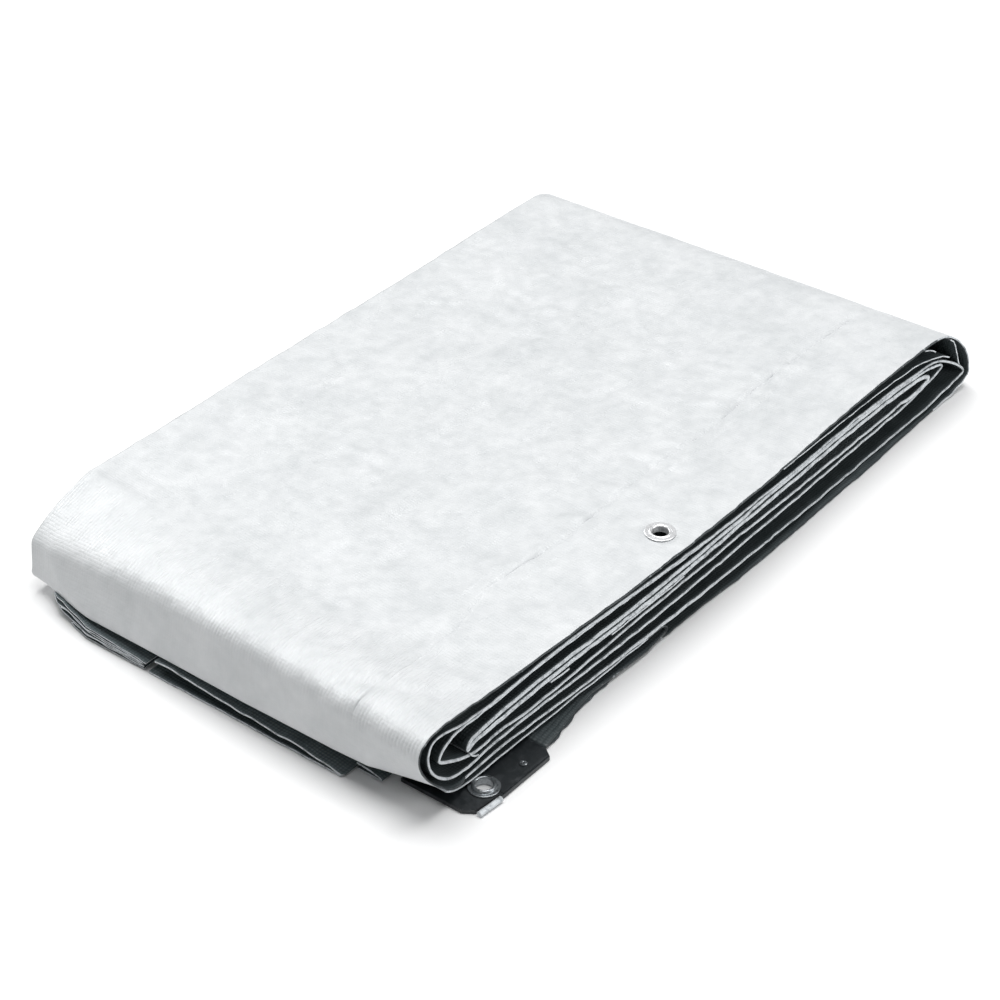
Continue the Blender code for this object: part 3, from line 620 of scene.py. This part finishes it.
def make_tarp(materials):
    """The folded sheet: the wrap with its wrinkles, and the plies inside it."""
    rows, coarse_rows = fine_rows()
    sections = table(SECTION_COLUMNS, SECTIONS)
    section_y = [section["y"] for section in sections]
    lines = []
    for row_y in rows:
        section = {key: np.interp(row_y, section_y, [s[key] for s in sections]) for key in SECTION_COLUMNS}
        line, names = section_path(section)
        lines.append(line)
    plan = np.array(lines)
    names = np.array(names)
    columns = len(names)

    # Kinks between a ply and its fold are eased, most of all on the wrap
    ease = np.where(np.isin(names, WRAP), 1.0, INNER_EASE)
    ease[np.isin(names, ("belly", "second"))] = OUTER_EASE
    ease[[0, -1]] = 0.0
    ease[np.isin(names, ("lap", "under", "floor"))] = 0.0
    for _ in range(SMOOTH_PASSES):
        middle = (np.roll(plan, 1, axis=1) + np.roll(plan, -1, axis=1)) / 2.0
        plan += (middle - plan) * 0.5 * ease[None, :, None]

    x, z = plan[:, :, 0], plan[:, :, 1]
    row_y = rows[:, None]
    ply_of = {"wrap": "top", "nose": "top"}
    edge_of = {ply["name"]: ply["edge_y"] for ply in table(PLY_COLUMNS, PLIES)}
    edge_shift = np.array([edge_of[ply_of.get(name, name)] for name in names])
    low_ply = np.isin(names, ("lap", "under", "floor"))
    lowest = np.isin(names, ("floor", "under"))

    # Where the folds are skewed and sunk across the pack
    across = row_y / PACK_WIDTH
    skewed = x - TAIL_SKEW * across * smooth((x - TAIL_START) / TAIL_REACH)
    nose = NOSE_SKEW * across * (1.0 - smooth(x / NOSE_REACH))
    sunk = CHAMFER * across ** 3 * np.clip((CHAMFER_START - x) / CHAMFER_REACH, 0.0, 1.0) * z / CREST_HEIGHT
    low_wrap = np.isin(names, ("nose", "belly"))[None, :]
    raised = smooth((z - SKEW_HEIGHT) / SKEW_RISE)
    far_end = SKEW_FAR_GAIN * smooth((across - SKEW_FAR) / (1.0 - SKEW_FAR))
    share = SKEW_LEAST + (1.0 - SKEW_LEAST) * np.maximum(raised, far_end)
    nose = nose * np.where(low_wrap, share, 1.0)
    place_x = skewed + np.where(low_ply, 0.0, nose)
    place_z = z - np.where(low_ply, 0.0, sunk)

    # Where the open edge and the hem's seam wander
    edge = (edge_wave(x) + edge_shift) * (1.0 - np.minimum(row_y / HEM_WIDTH, 1.0))
    flare = CORNER_FLARE * (1.0 - smooth((x - FLARE_FRONT) / (FLARE_BACK - FLARE_FRONT)))
    flare = np.where(lowest, flare, 0.0)
    edge = edge - flare * (1.0 - np.minimum(row_y / FLARE_DEPTH, 1.0))
    seam = SEAM_WAVE * np.cos(2.0 * math.pi * (x - SEAM_WAVE_START) / SEAM_WAVE_LENGTH)
    seam = seam * np.where(row_y < HEM_WIDTH, row_y / HEM_WIDTH,
                           np.maximum(0.0, 1.0 - (row_y - HEM_WIDTH) / (SEAM_FADE - HEM_WIDTH)))
    length = cloth_lengths(plan[0])
    ragged = 0.5 * noise(length / 9.0, 1.5, 21) + 0.3 * noise(length / 3.4, 4.5, 22)
    front_floor = (names == "floor") & (x[0] < FLOOR_RAGGED)
    ragged = ragged + np.where(front_floor, 1.3 * noise(length / 5.0, 8.5, 23), 0.0)
    near_edge = np.exp(-row_y / 5.0)
    far_edge = np.exp(-(PACK_WIDTH - row_y) / 6.0)
    far_ragged = 0.8 * noise(length / 11.0, 2.5, 24) - 0.8
    floor_x, floor_y = np.array(FLOOR_EDGE, float).T
    ragged = ragged + np.interp(x[0], floor_x, floor_y) * (names == "floor")
    place_y = row_y + edge + seam + ragged * near_edge + far_ragged * far_edge
    middle = np.stack([place_x, place_y, place_z], axis=2)

    # The cloth's own coordinate along the wrap, which is x on the top face
    top_end = np.nonzero(names == "top")[0][-1]
    along_x = place_x[:, top_end][:, None] - (length - length[top_end])[None, :]
    relief = silver_relief(along_x, place_y)
    on_wrap = np.isin(names, WRAP)
    first_back = np.nonzero(names == "wrap")[0]
    nose_columns = np.nonzero(names == "nose")[0]
    calm = np.zeros(columns)
    calm[on_wrap] = 1.0
    calm[first_back] = np.linspace(0.0, 1.0, len(first_back)) ** 1.5 * 0.9
    calm[nose_columns] = 1.0 - smooth(np.linspace(-0.35, 1.3, len(nose_columns)))
    quiet = 1.0 - 0.65 * np.exp(-row_y / 4.0) - 0.5 * far_edge
    around = np.hypot(place_x - TOP_EYELET[0], place_y - TOP_EYELET[1])     # from the eyelet's middle
    quiet = quiet * np.where(names == "top", smooth((around - 10.0) / 12.0), 1.0)
    bumps = 0.22 * noise(length[None, :] / 16.0, row_y / 30.0, 31) * np.exp(-row_y / 60.0)
    inner = ~on_wrap & ~low_ply
    normal, _ = grid_normals(middle)
    lift = relief * calm[None, :] * quiet + np.where(inner, bumps, 0.0)
    middle = middle + normal * lift[:, :, None]
    normal, across_way = grid_normals(middle)

    half = np.full(middle.shape[:2], SHEET / 2.0)
    half += 0.16 * noise(length[None, :] / 7.0, 5.5, 32) * np.exp(-row_y / 3.0)
    thicker = np.array([EDGE_EXTRA.get(name, 0.0) for name in names])
    thicker[names == "belly"] += 0.6 * np.exp(-((x[0][names == "belly"] - 250.0) / 60.0) ** 2)
    half += thicker[None, :] * np.exp(-(row_y / 4.0) ** 2)
    doubled = (names == "top")[None, :] * smooth((HEM_WIDTH + 1.0 - row_y) / 3.0)
    half += (HEM_SHEET - SHEET) / 2.0 * doubled
    half = np.where(lowest[None, :], np.minimum(half, SHEET / 2.0), half)

    # Coarse columns: every one, but for groups on the wrap
    wrap_columns = np.nonzero(on_wrap)[0]
    start, stop = wrap_columns[0], wrap_columns[-1]
    coarse_columns = list(range(0, start)) + list(range(start, stop, FINE_GROUP)) + list(range(stop, columns))
    fine = [np.zeros((len(coarse_rows) - 1, len(coarse_columns) - 1), bool) for _ in range(2)]
    for j, (a, b) in enumerate(zip(coarse_columns[:-1], coarse_columns[1:])):
        if b - a > 1 or (start <= a < stop):
            fine[OUTER][:, j] = True
            fine[INNER][[0, -1], j] = True
        if abs(place_x[0, a] - TOP_EYELET[0]) < 30.0 and names[a] == "top":
            fine[INNER][:, j] = rows[coarse_rows[:-1]] < 45.0
            fine[INNER][-1, j] = True

    # The eyelet's hole
    within = (around < EYELET_SEAT + HOLE_MARGIN) & (names == "top")[None, :]
    gone = np.zeros_like(within)
    gone[:-1, :-1] = within[:-1, :-1] | within[1:, :-1] | within[:-1, 1:] | within[1:, 1:]
    rim = np.zeros_like(within)
    rim[1:, 1:] |= gone[:-1, :-1]
    rim[:-1, 1:] |= gone[1:, :-1] | gone[:-1, :-1]
    rim |= gone
    rim[1:, :] |= gone[:-1, :]
    rim[:, 1:] |= gone[:, :-1]
    rim &= around < EYELET_SEAT + HOLE_REACH
    scale = (EYELET_SEAT + 0.4) / np.maximum(around, 1.0)
    for axis, centre in ((0, TOP_EYELET[0]), (1, TOP_EYELET[1])):
        pulled = centre + (middle[:, :, axis] - centre) * scale
        middle[:, :, axis] = np.where(rim, pulled, middle[:, :, axis])

    shape = middle.shape[:2]
    cloth = np.stack([np.broadcast_to(length[None, :], shape), np.broadcast_to(row_y, shape)], axis=2)
    silver_out = on_wrap | ((names == "floor") & (x[0] > FLOOR_SILVER))
    silver_out |= (names == "belly") & (x[0] < BELLY_SILVER)
    silver_out |= (names == "fifth") & (x[0] > FIFTH_SILVER[0]) & (x[0] < FIFTH_SILVER[1])
    # Edges drawn dark: where the black face comes round them, and on the under ply and the lap's back end as
    # painted shade for their recess
    dark_and_shaded_edge = (on_wrap & (x[0] < WRAP_DARK)) | lowest
    dark_and_shaded_edge |= (names == "belly") & (x[0] < BELLY_DARK)
    dark_and_shaded_edge |= (names == "lap") & (x[0] > LAP_PAINTED_SHADE)
    paint = (np.where(silver_out, SILVER_SLOT, BLACK_SLOT), np.full(columns, BLACK_SLOT),
             np.where(dark_and_shaded_edge, DARK_SLOT, EDGE_SLOT))
    from_edge = np.minimum(row_y, PACK_WIDTH - row_y)
    under = BACKING * on_wrap[None, :] * smooth((from_edge - BACKING_START) / BACKING_REACH)
    under = under * smooth((around - 12.0) / 8.0)
    sheet = closed_sheet("tarp_sheet_cloth", middle, half, under, (normal, across_way), coarse_rows,
                         coarse_columns, fine, gone, paint, cloth, materials)
    return sheet, float(length[-1])


# Small folds of the same cloth, each a thin closed sheet along a path, swept straight back from its edge

PLEAT_SHEET = 0.9
PLEAT_THICK = {"pleat_middle": 1.5, "pleat_near": 1.4}
PLEAT_BACK = 41.0
PLEAT_FRONT = ((0, 9), (72, 9), (74.5, -3.6), (246, -3), (306, -3), (314, -1), (330, 2.5), (340, 4),
               (348, 9), (375, 14))

# Paths of the pleats under the front fold, as (y, z)
PLEATS = (
    ("pleat_far", ((249, 7), (300, 10.6), (334, 15.4), (346, 15.2), (349, 13.5), (346, 12.2), (336, 10.9),
                   (300, 8.6), (256, 6.1), (251.5, 5.6), (256, 5.3), (300, 6.9), (326, 9.9), (335, 9.7),
                   (338, 8.2), (335, 6.9), (325, 5.9), (300, 5), (256, 3.9), (251, 3.4), (256, 3),
                   (300, 3.7), (313, 4.9), (322, 4.5), (325, 3.2), (321, 1.7), (312, 1), (252, 0.7))),
    ("pleat_middle", ((240, 13.4), (224, 13.6), (202, 11.4), (179, 10), (157, 9), (135, 7.6), (113, 6.8),
                      (92, 4.2), (80, 2.6), (75.5, 2.1), (74, 1.5), (75.5, 0.9), (80, 0.8), (247, 0.8))),
    ("pleat_near", ((72, 6), (64, 4.6), (56, 3), (52.4, 2.4), (51.5, 1.6), (52.4, 0.9), (55, 0.8),
                    (72, 0.8))),
)

# Plies that show only at the open edge: name, thickness, how deep each goes across the pack, (x, z) path
EDGE_PLIES = (
    ("ply_emerging", 1, 46, ((385, 63.9), (400, 63.4), (420, 62.2), (460, 60.3), (500, 58.8), (540, 57.2),
                                 (570, 55.6), (582, 53.6), (600, 49), (610, 45.6), (620, 40))),
    ("ply_streak", 0.8, 22, ((583, 63.2), (590, 60.4), (595, 57.6), (599, 54.6))),
    ("ply_hanging", 1, 30, ((619, 56), (624, 52), (628, 45), (631, 38), (634, 30), (636, 26))),
    ("ply_stub_near", 1.6, 26, ((119, 38.6), (126, 38.4), (138, 38.2))),
    ("ply_stub_far", 1.4, 26, ((182, 40.4), (200, 41.2), (230, 42.2), (262, 42.8))),
    ("ply_hem_tail", 1.2, 26, ((38, 30.6), (40, 27.6), (43, 25.4), (46, 24.4))),
)


def thin_sheet(name, middle, thickness, materials):
    """A closed sheet of even thickness on a grid of middle points: along its path, and swept across."""
    normal = np.cross(np.gradient(middle, axis=0), np.gradient(middle, axis=1))
    normal /= np.linalg.norm(normal, axis=2)[:, :, None]
    rows, columns = middle.shape[:2]
    layers = np.stack([middle + normal * thickness / 2.0, middle - normal * thickness / 2.0])
    size = rows * columns
    points = np.arange(size).reshape(rows, columns)
    faces = []
    for layer in (OUTER, INNER):
        for a in (points[:-1, :-1] + layer * size).ravel().tolist():
            faces.append([a, a + 1, a + columns + 1, a + columns])
    slots = [BLACK_SLOT] * len(faces)
    border = np.concatenate([points[0], points[1:, -1], points[-1, -2::-1], points[-2:0:-1, 0]]).tolist()
    for a, b in zip(border, border[1:] + border[:1]):
        faces.append([a, b, size + b, size + a])
    slots += [EDGE_SLOT] * len(border)
    path = cloth_lengths(middle[:, 0])
    depth = np.abs(middle - middle[:, :1]).sum(axis=2)
    flat = np.stack([np.broadcast_to(path[:, None], depth.shape), depth], axis=2).reshape(-1, 2)
    made = cloth_mesh(name, layers.reshape(-1, 3), faces, slots, np.tile(flat, (2, 1)), materials)
    return made, float(path[-1]), float(depth.max())


def dense(path, step):
    """The path with points at even steps between its own."""
    points = np.array(path, float)
    length = cloth_lengths(points)
    count = max(3, int(round(length[-1] / step)) + 1)
    places = np.unique(np.concatenate([np.linspace(0.0, length[-1], count), length]))
    return np.stack([np.interp(places, length, points[:, k]) for k in range(2)], axis=1)


def make_pleat(name, path, materials):
    """One pleated end under the front fold, from its ragged front edge back to the sheet's own end."""
    thickness = PLEAT_THICK.get(name, PLEAT_SHEET)
    line = dense(path, 3.0)
    y, z = line[:, 0], line[:, 1]
    front_y, front_x = np.array(PLEAT_FRONT, float).T
    length = cloth_lengths(line)
    front = np.interp(y, front_y, front_x) + 0.7 * noise(length / 11.0, 2.5, 51)
    t = np.linspace(0.0, 1.0, 13) ** 1.4
    x = front[:, None] + (PLEAT_BACK - front)[:, None] * t[None, :]
    pressed = 1.0 - 0.34 * smooth((x - 3.0) / 24.0)
    lift = 0.22 * noise(length / 8.0, 6.5, 52)[:, None] * (z[:, None] > 1.4)
    middle = np.stack([x, np.broadcast_to(y[:, None], x.shape), z[:, None] * pressed + lift], axis=2)
    middle[:, :, 2] = np.maximum(middle[:, :, 2], thickness / 2.0 + 0.05)
    return thin_sheet(name, middle, thickness, materials)


def make_edge_ply(name, thickness, deep, path, materials):
    """One ply that shows only at the open edge, going in between its neighbours."""
    line = dense(path, 4.0)
    x, z = line[:, 0], line[:, 1]
    length = cloth_lengths(line)
    edge = edge_wave(x) + 0.4 + 0.4 * noise(length / 6.0, 3.5, 53)
    t = np.linspace(0.0, 1.0, 7)
    y = edge[:, None] + deep * t[None, :]
    middle = np.stack([np.broadcast_to(x[:, None], y.shape), y, np.broadcast_to(z[:, None], y.shape)], axis=2)
    return thin_sheet(name, middle, thickness, materials)


# Materials

class Nodes:
    """A new material with its Principled shader, and short ways to add the nodes that are used here."""

    def __init__(self, name):
        self.made = bpy.data.materials.new(name)
        self.made.use_nodes = True
        self.tree = self.made.node_tree
        self.shader = self.tree.nodes["Principled BSDF"]

    def give(self, owner, key, value):
        """Link a socket to an input, or set the input's own value."""
        if isinstance(value, bpy.types.NodeSocket):
            self.tree.links.new(value, owner.inputs[key])
        else:
            owner.inputs[key].default_value = value

    def add(self, kind, inputs, **settings):
        added = self.tree.nodes.new(kind)
        for key, value in settings.items():
            setattr(added, key, value)
        for key, value in inputs.items():
            self.give(added, key, value)
        return added

    def calc(self, operation, a, b=0.0):
        return self.add("ShaderNodeMath", {0: a, 1: b}, operation=operation).outputs[0]

    def place(self):
        """Where a point lies on the object."""
        return self.add("ShaderNodeTexCoord", {}).outputs["Object"]

    def split(self, vector):
        """The three numbers of a vector."""
        return self.add("ShaderNodeSeparateXYZ", {0: vector}).outputs

    def clouds(self, vector, scale, detail, roughness=0.5, distortion=0.0, **settings):
        """Random clouds, from 0 to 1."""
        inputs = {"Vector": vector, "Scale": scale, "Detail": detail, "Roughness": roughness,
                  "Distortion": distortion}
        return self.add("ShaderNodeTexNoise", inputs, **settings).outputs["Fac"]

    def ranged(self, value, low, high, to_low=0.0, to_high=1.0):
        """The value taken from one range to another."""
        inputs = {"Value": value, "From Min": low, "From Max": high, "To Min": to_low, "To Max": to_high}
        return self.add("ShaderNodeMapRange", inputs).outputs["Result"]

    def blend(self, factor, dark, bright):
        """A colour between two."""
        inputs = {0: factor, 6: (*dark, 1.0), 7: (*bright, 1.0)}
        return self.add("ShaderNodeMix", inputs, data_type="RGBA").outputs[2]

    def bump(self, height, strength, distance, **below):
        """Fine relief, over the relief that is given as Normal."""
        inputs = {"Height": height, "Strength": strength, "Distance": distance, **below}
        return self.add("ShaderNodeBump", inputs).outputs[0]

    def finish(self, colour, roughness, normal, metallic=0.0):
        """The material, with its shader's inputs given."""
        self.give(self.shader, "Base Color", colour)
        self.give(self.shader, "Roughness", roughness)
        self.give(self.shader, "Normal", normal)
        self.give(self.shader, "Metallic", metallic)
        return self.made


def weave_height(nodes):
    """Height of a plain weave of flat tapes, and the place across them, by the cloth's own coordinates."""
    calc = nodes.calc
    cloth = nodes.add("ShaderNodeAttribute", {}, attribute_name="cloth").outputs["Vector"]
    along, across, _ = nodes.split(cloth)
    drift = calc("MULTIPLY", calc("SUBTRACT", nodes.clouds(cloth, 40.0, 1.0), 0.5), 0.5)
    u = calc("ADD", calc("DIVIDE", along, TAPE_PITCH), drift)
    v = calc("ADD", calc("DIVIDE", across, TAPE_PITCH), drift)
    over = calc("ABSOLUTE", calc("MODULO", calc("ADD", calc("FLOOR", u), calc("FLOOR", v)), 2.0))
    round_u = calc("ABSOLUTE", calc("SINE", calc("MULTIPLY", calc("FRACT", u), math.pi)))
    round_v = calc("ABSOLUTE", calc("SINE", calc("MULTIPLY", calc("FRACT", v), math.pi)))

    def tape(crown, run):
        level = calc("ADD", calc("MULTIPLY", run, 0.5), 0.5)
        return calc("MULTIPLY", calc("POWER", crown, TAPE_CROWN), level)

    lower = calc("MULTIPLY", tape(round_u, round_v), calc("SUBTRACT", 1.0, over))
    return calc("ADD", calc("MULTIPLY", tape(round_v, round_u), over), lower), across


def silver_material():
    """Silver-white film over the weave: satin, faintly mottled, with the tapes showing through."""
    nodes = Nodes("tarp_silver_film")
    calc = nodes.calc
    weave, across = weave_height(nodes)
    place = nodes.place()
    wide = nodes.clouds(place, 26.0, 5.0, 0.6)
    blotch = nodes.clouds(place, 90.0, 3.0)
    tone = calc("ADD", calc("MULTIPLY", wide, 0.65), calc("MULTIPLY", blotch, 0.35))
    colour = nodes.blend(nodes.ranged(tone, 0.3, 0.7), (0.535, 0.553, 0.562), (0.66, 0.672, 0.68))
    # The tapes stand out most on the crest of the front fold
    x, _, z = nodes.split(place)
    crest = calc("MULTIPLY", nodes.ranged(x, CREST_END, CREST_FULL), nodes.ranged(z, CREST_LOW, CREST_HIGH))
    ribs = calc("ABSOLUTE", calc("SINE", calc("MULTIPLY", across, math.pi / RIB_PITCH)))
    broken = nodes.clouds(place, 75.0, 3.0)
    ribs = calc("MULTIPLY", calc("MULTIPLY", ribs, broken), calc("MULTIPLY", crest, RIB_HEIGHT))
    tapes = nodes.bump(calc("ADD", weave, ribs), 0.4, 0.0004)
    crinkles = nodes.bump(nodes.clouds(place, 160.0, 4.0, 0.55, 0.8), 0.45, 0.0014, Normal=tapes)
    folds = nodes.clouds(place, 34.0, 5.0, 0.55, 0.5, noise_type="RIDGED_MULTIFRACTAL")
    relief = nodes.bump(folds, 0.35, 0.0016, Normal=crinkles)
    return nodes.finish(colour, nodes.ranged(blotch, 0.3, 0.7, 0.46, 0.58), relief, 0.12)


def black_material(name="tarp_black_weave", lift=1.0):
    """The black inner face: woven tapes that show, with greyer crowns. A lift above one paints the whole face
    lighter, as painted light.
    """
    nodes = Nodes(name)
    weave, _ = weave_height(nodes)
    clouds = nodes.clouds(nodes.place(), 60.0, 4.0)
    worn = nodes.calc("MULTIPLY", nodes.calc("POWER", weave, 2.0), clouds)
    colour = nodes.blend(worn, (0.028 * lift, 0.038 * lift, 0.041 * lift),
                         (0.115 * lift, 0.135 * lift, 0.140 * lift))
    return nodes.finish(colour, nodes.ranged(clouds, 0.3, 0.7, 0.42, 0.58), nodes.bump(weave, 0.6, 0.0005))


def edge_material():
    """Cut and turned edges of the cloth: silver film, worn in places."""
    nodes = Nodes("tarp_edge")
    wear = nodes.clouds(nodes.place(), 210.0, 4.0, 0.7)
    colour = nodes.blend(nodes.ranged(wear, 0.34, 0.5), (0.26, 0.28, 0.295), (0.56, 0.59, 0.61))
    return nodes.finish(colour, 0.42, nodes.bump(wear, 0.5, 0.0008), 0.15)


def dark_and_shaded_edge_material():
    """The turned edge where the black face comes round it, with a few worn silver glints. On the under ply
    and the lap's back end this dark is painted shade for their recess.
    """
    nodes = Nodes("tarp_dark_and_shaded_edge")
    wear = nodes.clouds(nodes.place(), 170.0, 4.0, 0.7)
    colour = nodes.blend(nodes.ranged(wear, 0.6, 0.68), (0.026, 0.034, 0.037), (0.34, 0.37, 0.39))
    return nodes.finish(colour, 0.46, nodes.bump(wear, 0.4, 0.0006))


def metal_material(name, dark, bright, roughness, metallic=1.0):
    """A set eyelet's metal, with fine handling marks."""
    nodes = Nodes(name)
    marks = nodes.clouds(nodes.place(), 420.0, 4.0, 0.65)
    rough = nodes.ranged(marks, 0.3, 0.7, roughness, roughness + 0.14)
    return nodes.finish(nodes.blend(marks, dark, bright), rough, nodes.bump(marks, 0.1, 0.0002), metallic)


def plastic_material():
    """Black moulded plastic with a fine grain and a few scuffs."""
    nodes = Nodes("patch_plastic")
    place = nodes.place()
    grain = nodes.clouds(place, 900.0, 2.0)
    scuff = nodes.clouds(place, 70.0, 5.0, 0.7, 1.5)
    colour = nodes.blend(nodes.ranged(scuff, 0.5, 0.75), (0.011, 0.014, 0.016), (0.035, 0.040, 0.044))
    return nodes.finish(colour, nodes.ranged(scuff, 0.3, 0.7, 0.3, 0.5), nodes.bump(grain, 0.2, 0.0002))


# Hard pieces

def turned(name, profile, centre, sides, made_of, shake=0.0):
    """A closed ring turned about an upright axis from a closed profile of (radius, height) points."""
    profile = np.array(profile, float)
    angles = 2.0 * math.pi * np.arange(sides) / sides
    wobble = 1.0 + shake * np.sin(angles * 3.0 + 0.7) + shake * 0.6 * np.sin(angles * 7.0)
    points = np.stack([centre[0] + np.outer(wobble * np.cos(angles), profile[:, 0]),
                       centre[1] + np.outer(wobble * np.sin(angles), profile[:, 0]),
                       np.broadcast_to(profile[:, 1], (sides, len(profile)))], axis=2)
    count = len(profile)
    faces = []
    for i in range(sides):
        ahead = (i + 1) % sides
        for k in range(count):
            after = (k + 1) % count
            faces.append([i * count + k, ahead * count + k, ahead * count + after, i * count + after])
    mesh = bpy.data.meshes.new(name)
    mesh.from_pydata(placed(points.reshape(-1, 3)).tolist(), [], faces)
    mesh.materials.append(made_of)
    return shown(name, mesh, 35.0)


def arc(centre, radius, start, stop, steps):
    """Points of a round stretch of a profile, angles in degrees."""
    return [(centre[0] + radius * math.cos(math.radians(start + (stop - start) * k / steps)),
             centre[1] + radius * math.sin(math.radians(start + (stop - start) * k / steps)))
            for k in range(steps + 1)]


def make_eyelet(name, centre, face, lip, foot, made_of):
    """A set eyelet: a domed flange with a rolled rim, a rolled mouth, and a barrel down to its foot."""
    seat = face + 0.3
    mouth = (EYELET_HOLE + 1.0, face + lip - 1.0)
    profile = [(EYELET_HOLE, foot)]
    profile += arc(mouth, 1.0, 180.0, 20.0, 9)
    profile += [(EYELET_HOLE + 2.15, seat + 0.85), (EYELET_HOLE + 2.7, seat + 0.75), (9.3, seat + 0.8)]
    profile += arc((EYELET_FLANGE - 0.45, seat + 0.45), 0.45, 90.0, -90.0, 7)
    profile += [(EYELET_BARREL, seat), (EYELET_BARREL, foot)]
    return turned(name, profile, centre, 72, made_of, 0.002)


# Scene

def make_camera():
    """The camera at the photograph's place."""
    data = bpy.data.cameras.new("camera")
    data.lens = CAMERA_LENS
    data.sensor_width = SENSOR
    data.clip_start = 0.01
    data.clip_end = 50.0
    made = bpy.data.objects.new("camera", data)
    bpy.context.collection.objects.link(made)
    a = math.radians(CAMERA_AZIMUTH)
    e = math.radians(CAMERA_ELEVATION)
    back = Vector((math.sin(a) * math.cos(e), -math.cos(a) * math.cos(e), math.sin(e)))
    made.location = placed(CAMERA_PLACE)
    made.rotation_mode = "QUATERNION"
    made.rotation_quaternion = (-back).to_track_quat("-Z", "Y")
    bpy.context.scene.camera = made


def make_light(name, place, target, size, power):
    """A soft area light that faces its target. Places are in metres in the row frame."""
    data = bpy.data.lights.new(name, "AREA")
    data.shape = "RECTANGLE"
    data.size = size[0]
    data.size_y = size[1]
    data.energy = power
    made = bpy.data.objects.new(name, data)
    bpy.context.collection.objects.link(made)
    made.location = place
    made.rotation_mode = "QUATERNION"
    made.rotation_quaternion = (Vector(target) - Vector(place)).to_track_quat("-Z", "Y")


def make_studio():
    """A plain pale floor, an even white surround and soft lights."""
    world = bpy.data.worlds.new("studio")
    bpy.context.scene.world = world
    world.use_nodes = True
    background = world.node_tree.nodes["Background"]
    background.inputs["Color"].default_value = (0.93, 0.95, 0.97, 1.0)
    background.inputs["Strength"].default_value = 0.17
    mesh = bpy.data.meshes.new("floor")
    mesh.from_pydata([(-6, -6, 0), (6, -6, 0), (6, 6, 0), (-6, 6, 0)], [], [(0, 1, 2, 3)])
    paint = Nodes("floor_paint")
    paint.give(paint.shader, "Base Color", (0.84, 0.84, 0.84, 1.0))
    paint.give(paint.shader, "Roughness", 0.9)
    mesh.materials.append(paint.made)
    floor = bpy.data.objects.new("floor", mesh)
    bpy.context.collection.objects.link(floor)
    floor.location.z = -0.0004
    make_light("sky_panel", (0.0, 0.1, 3.2), (0.0, 0.0, 0.0), (2.3, 2.3), 116.0)
    make_light("key_panel", (0.3, 2.7, 1.3), (0.0, 0.0, 0.05), (1.3, 0.9), 44.0)
    make_light("edge_panel", (0.7, -2.5, 0.9), (0.0, -0.2, 0.03), (1.8, 1.2), 36.0)
    bpy.context.scene.view_settings.view_transform = "Standard"


silver = silver_material()
black = black_material()
# The pleats take the same black weave painted twice as bright, as painted light on them
pleat_black_painted_lit = black_material("tarp_pleat_weave_painted_lit", 2.0)
edge_film = edge_material()
dark_and_shaded_film = dark_and_shaded_edge_material()
bright_metal = metal_material("eyelet_bright", (0.84, 0.85, 0.86), (0.95, 0.95, 0.96), 0.3, 0.7)
# The corner eyelet and rivet are aluminium like the top eyelet, painted dark as shade: they sit in shadow at
# the patch's corner
shaded_metal = metal_material("eyelet_dark", (0.22, 0.24, 0.25), (0.46, 0.48, 0.50), 0.24)
plastic = plastic_material()

tarp, tarp_length = make_tarp([silver, black, edge_film, dark_and_shaded_film])
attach(tarp, BODY)
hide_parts("tarp_sheet", "top_hem")

for pleat_name, pleat_path in PLEATS:
    pleat, pleat_length, pleat_depth = make_pleat(pleat_name, pleat_path, [silver, pleat_black_painted_lit, edge_film])
    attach(pleat, BODY)
    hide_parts("tarp_sheet")

for ply_name, ply_thick, ply_deep, ply_path in EDGE_PLIES:
    edge_ply, ply_length, ply_depth = make_edge_ply(ply_name, ply_thick, ply_deep, ply_path,
                                                    [silver, black, edge_film])
    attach(edge_ply, BODY)
    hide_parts("tarp_sheet")

top_face = float(ply_height(table(PLY_COLUMNS, PLIES)[TOP_PLY], np.array([TOP_EYELET[0]]))[0]) + SHEET / 2.0
eyelet = make_eyelet("top_eyelet_metal", TOP_EYELET, top_face + 0.5, 1.7, top_face - 3.0, bright_metal)
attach(eyelet, BODY)
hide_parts("top_eyelet")

corner_ring = make_eyelet("corner_eyelet_metal", CORNER_EYELET, PATCH_THICK, 3.2, 0.2, shaded_metal)
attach(corner_ring, BODY)
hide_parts("corner_eyelet")

for node_name, finish in (("corner_patch", plastic), ("corner_rivet", shaded_metal), ("hem_roll", edge_film)):
    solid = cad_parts[node_name]
    solid.data.materials.clear()
    solid.data.materials.append(finish)

make_camera()
make_studio()
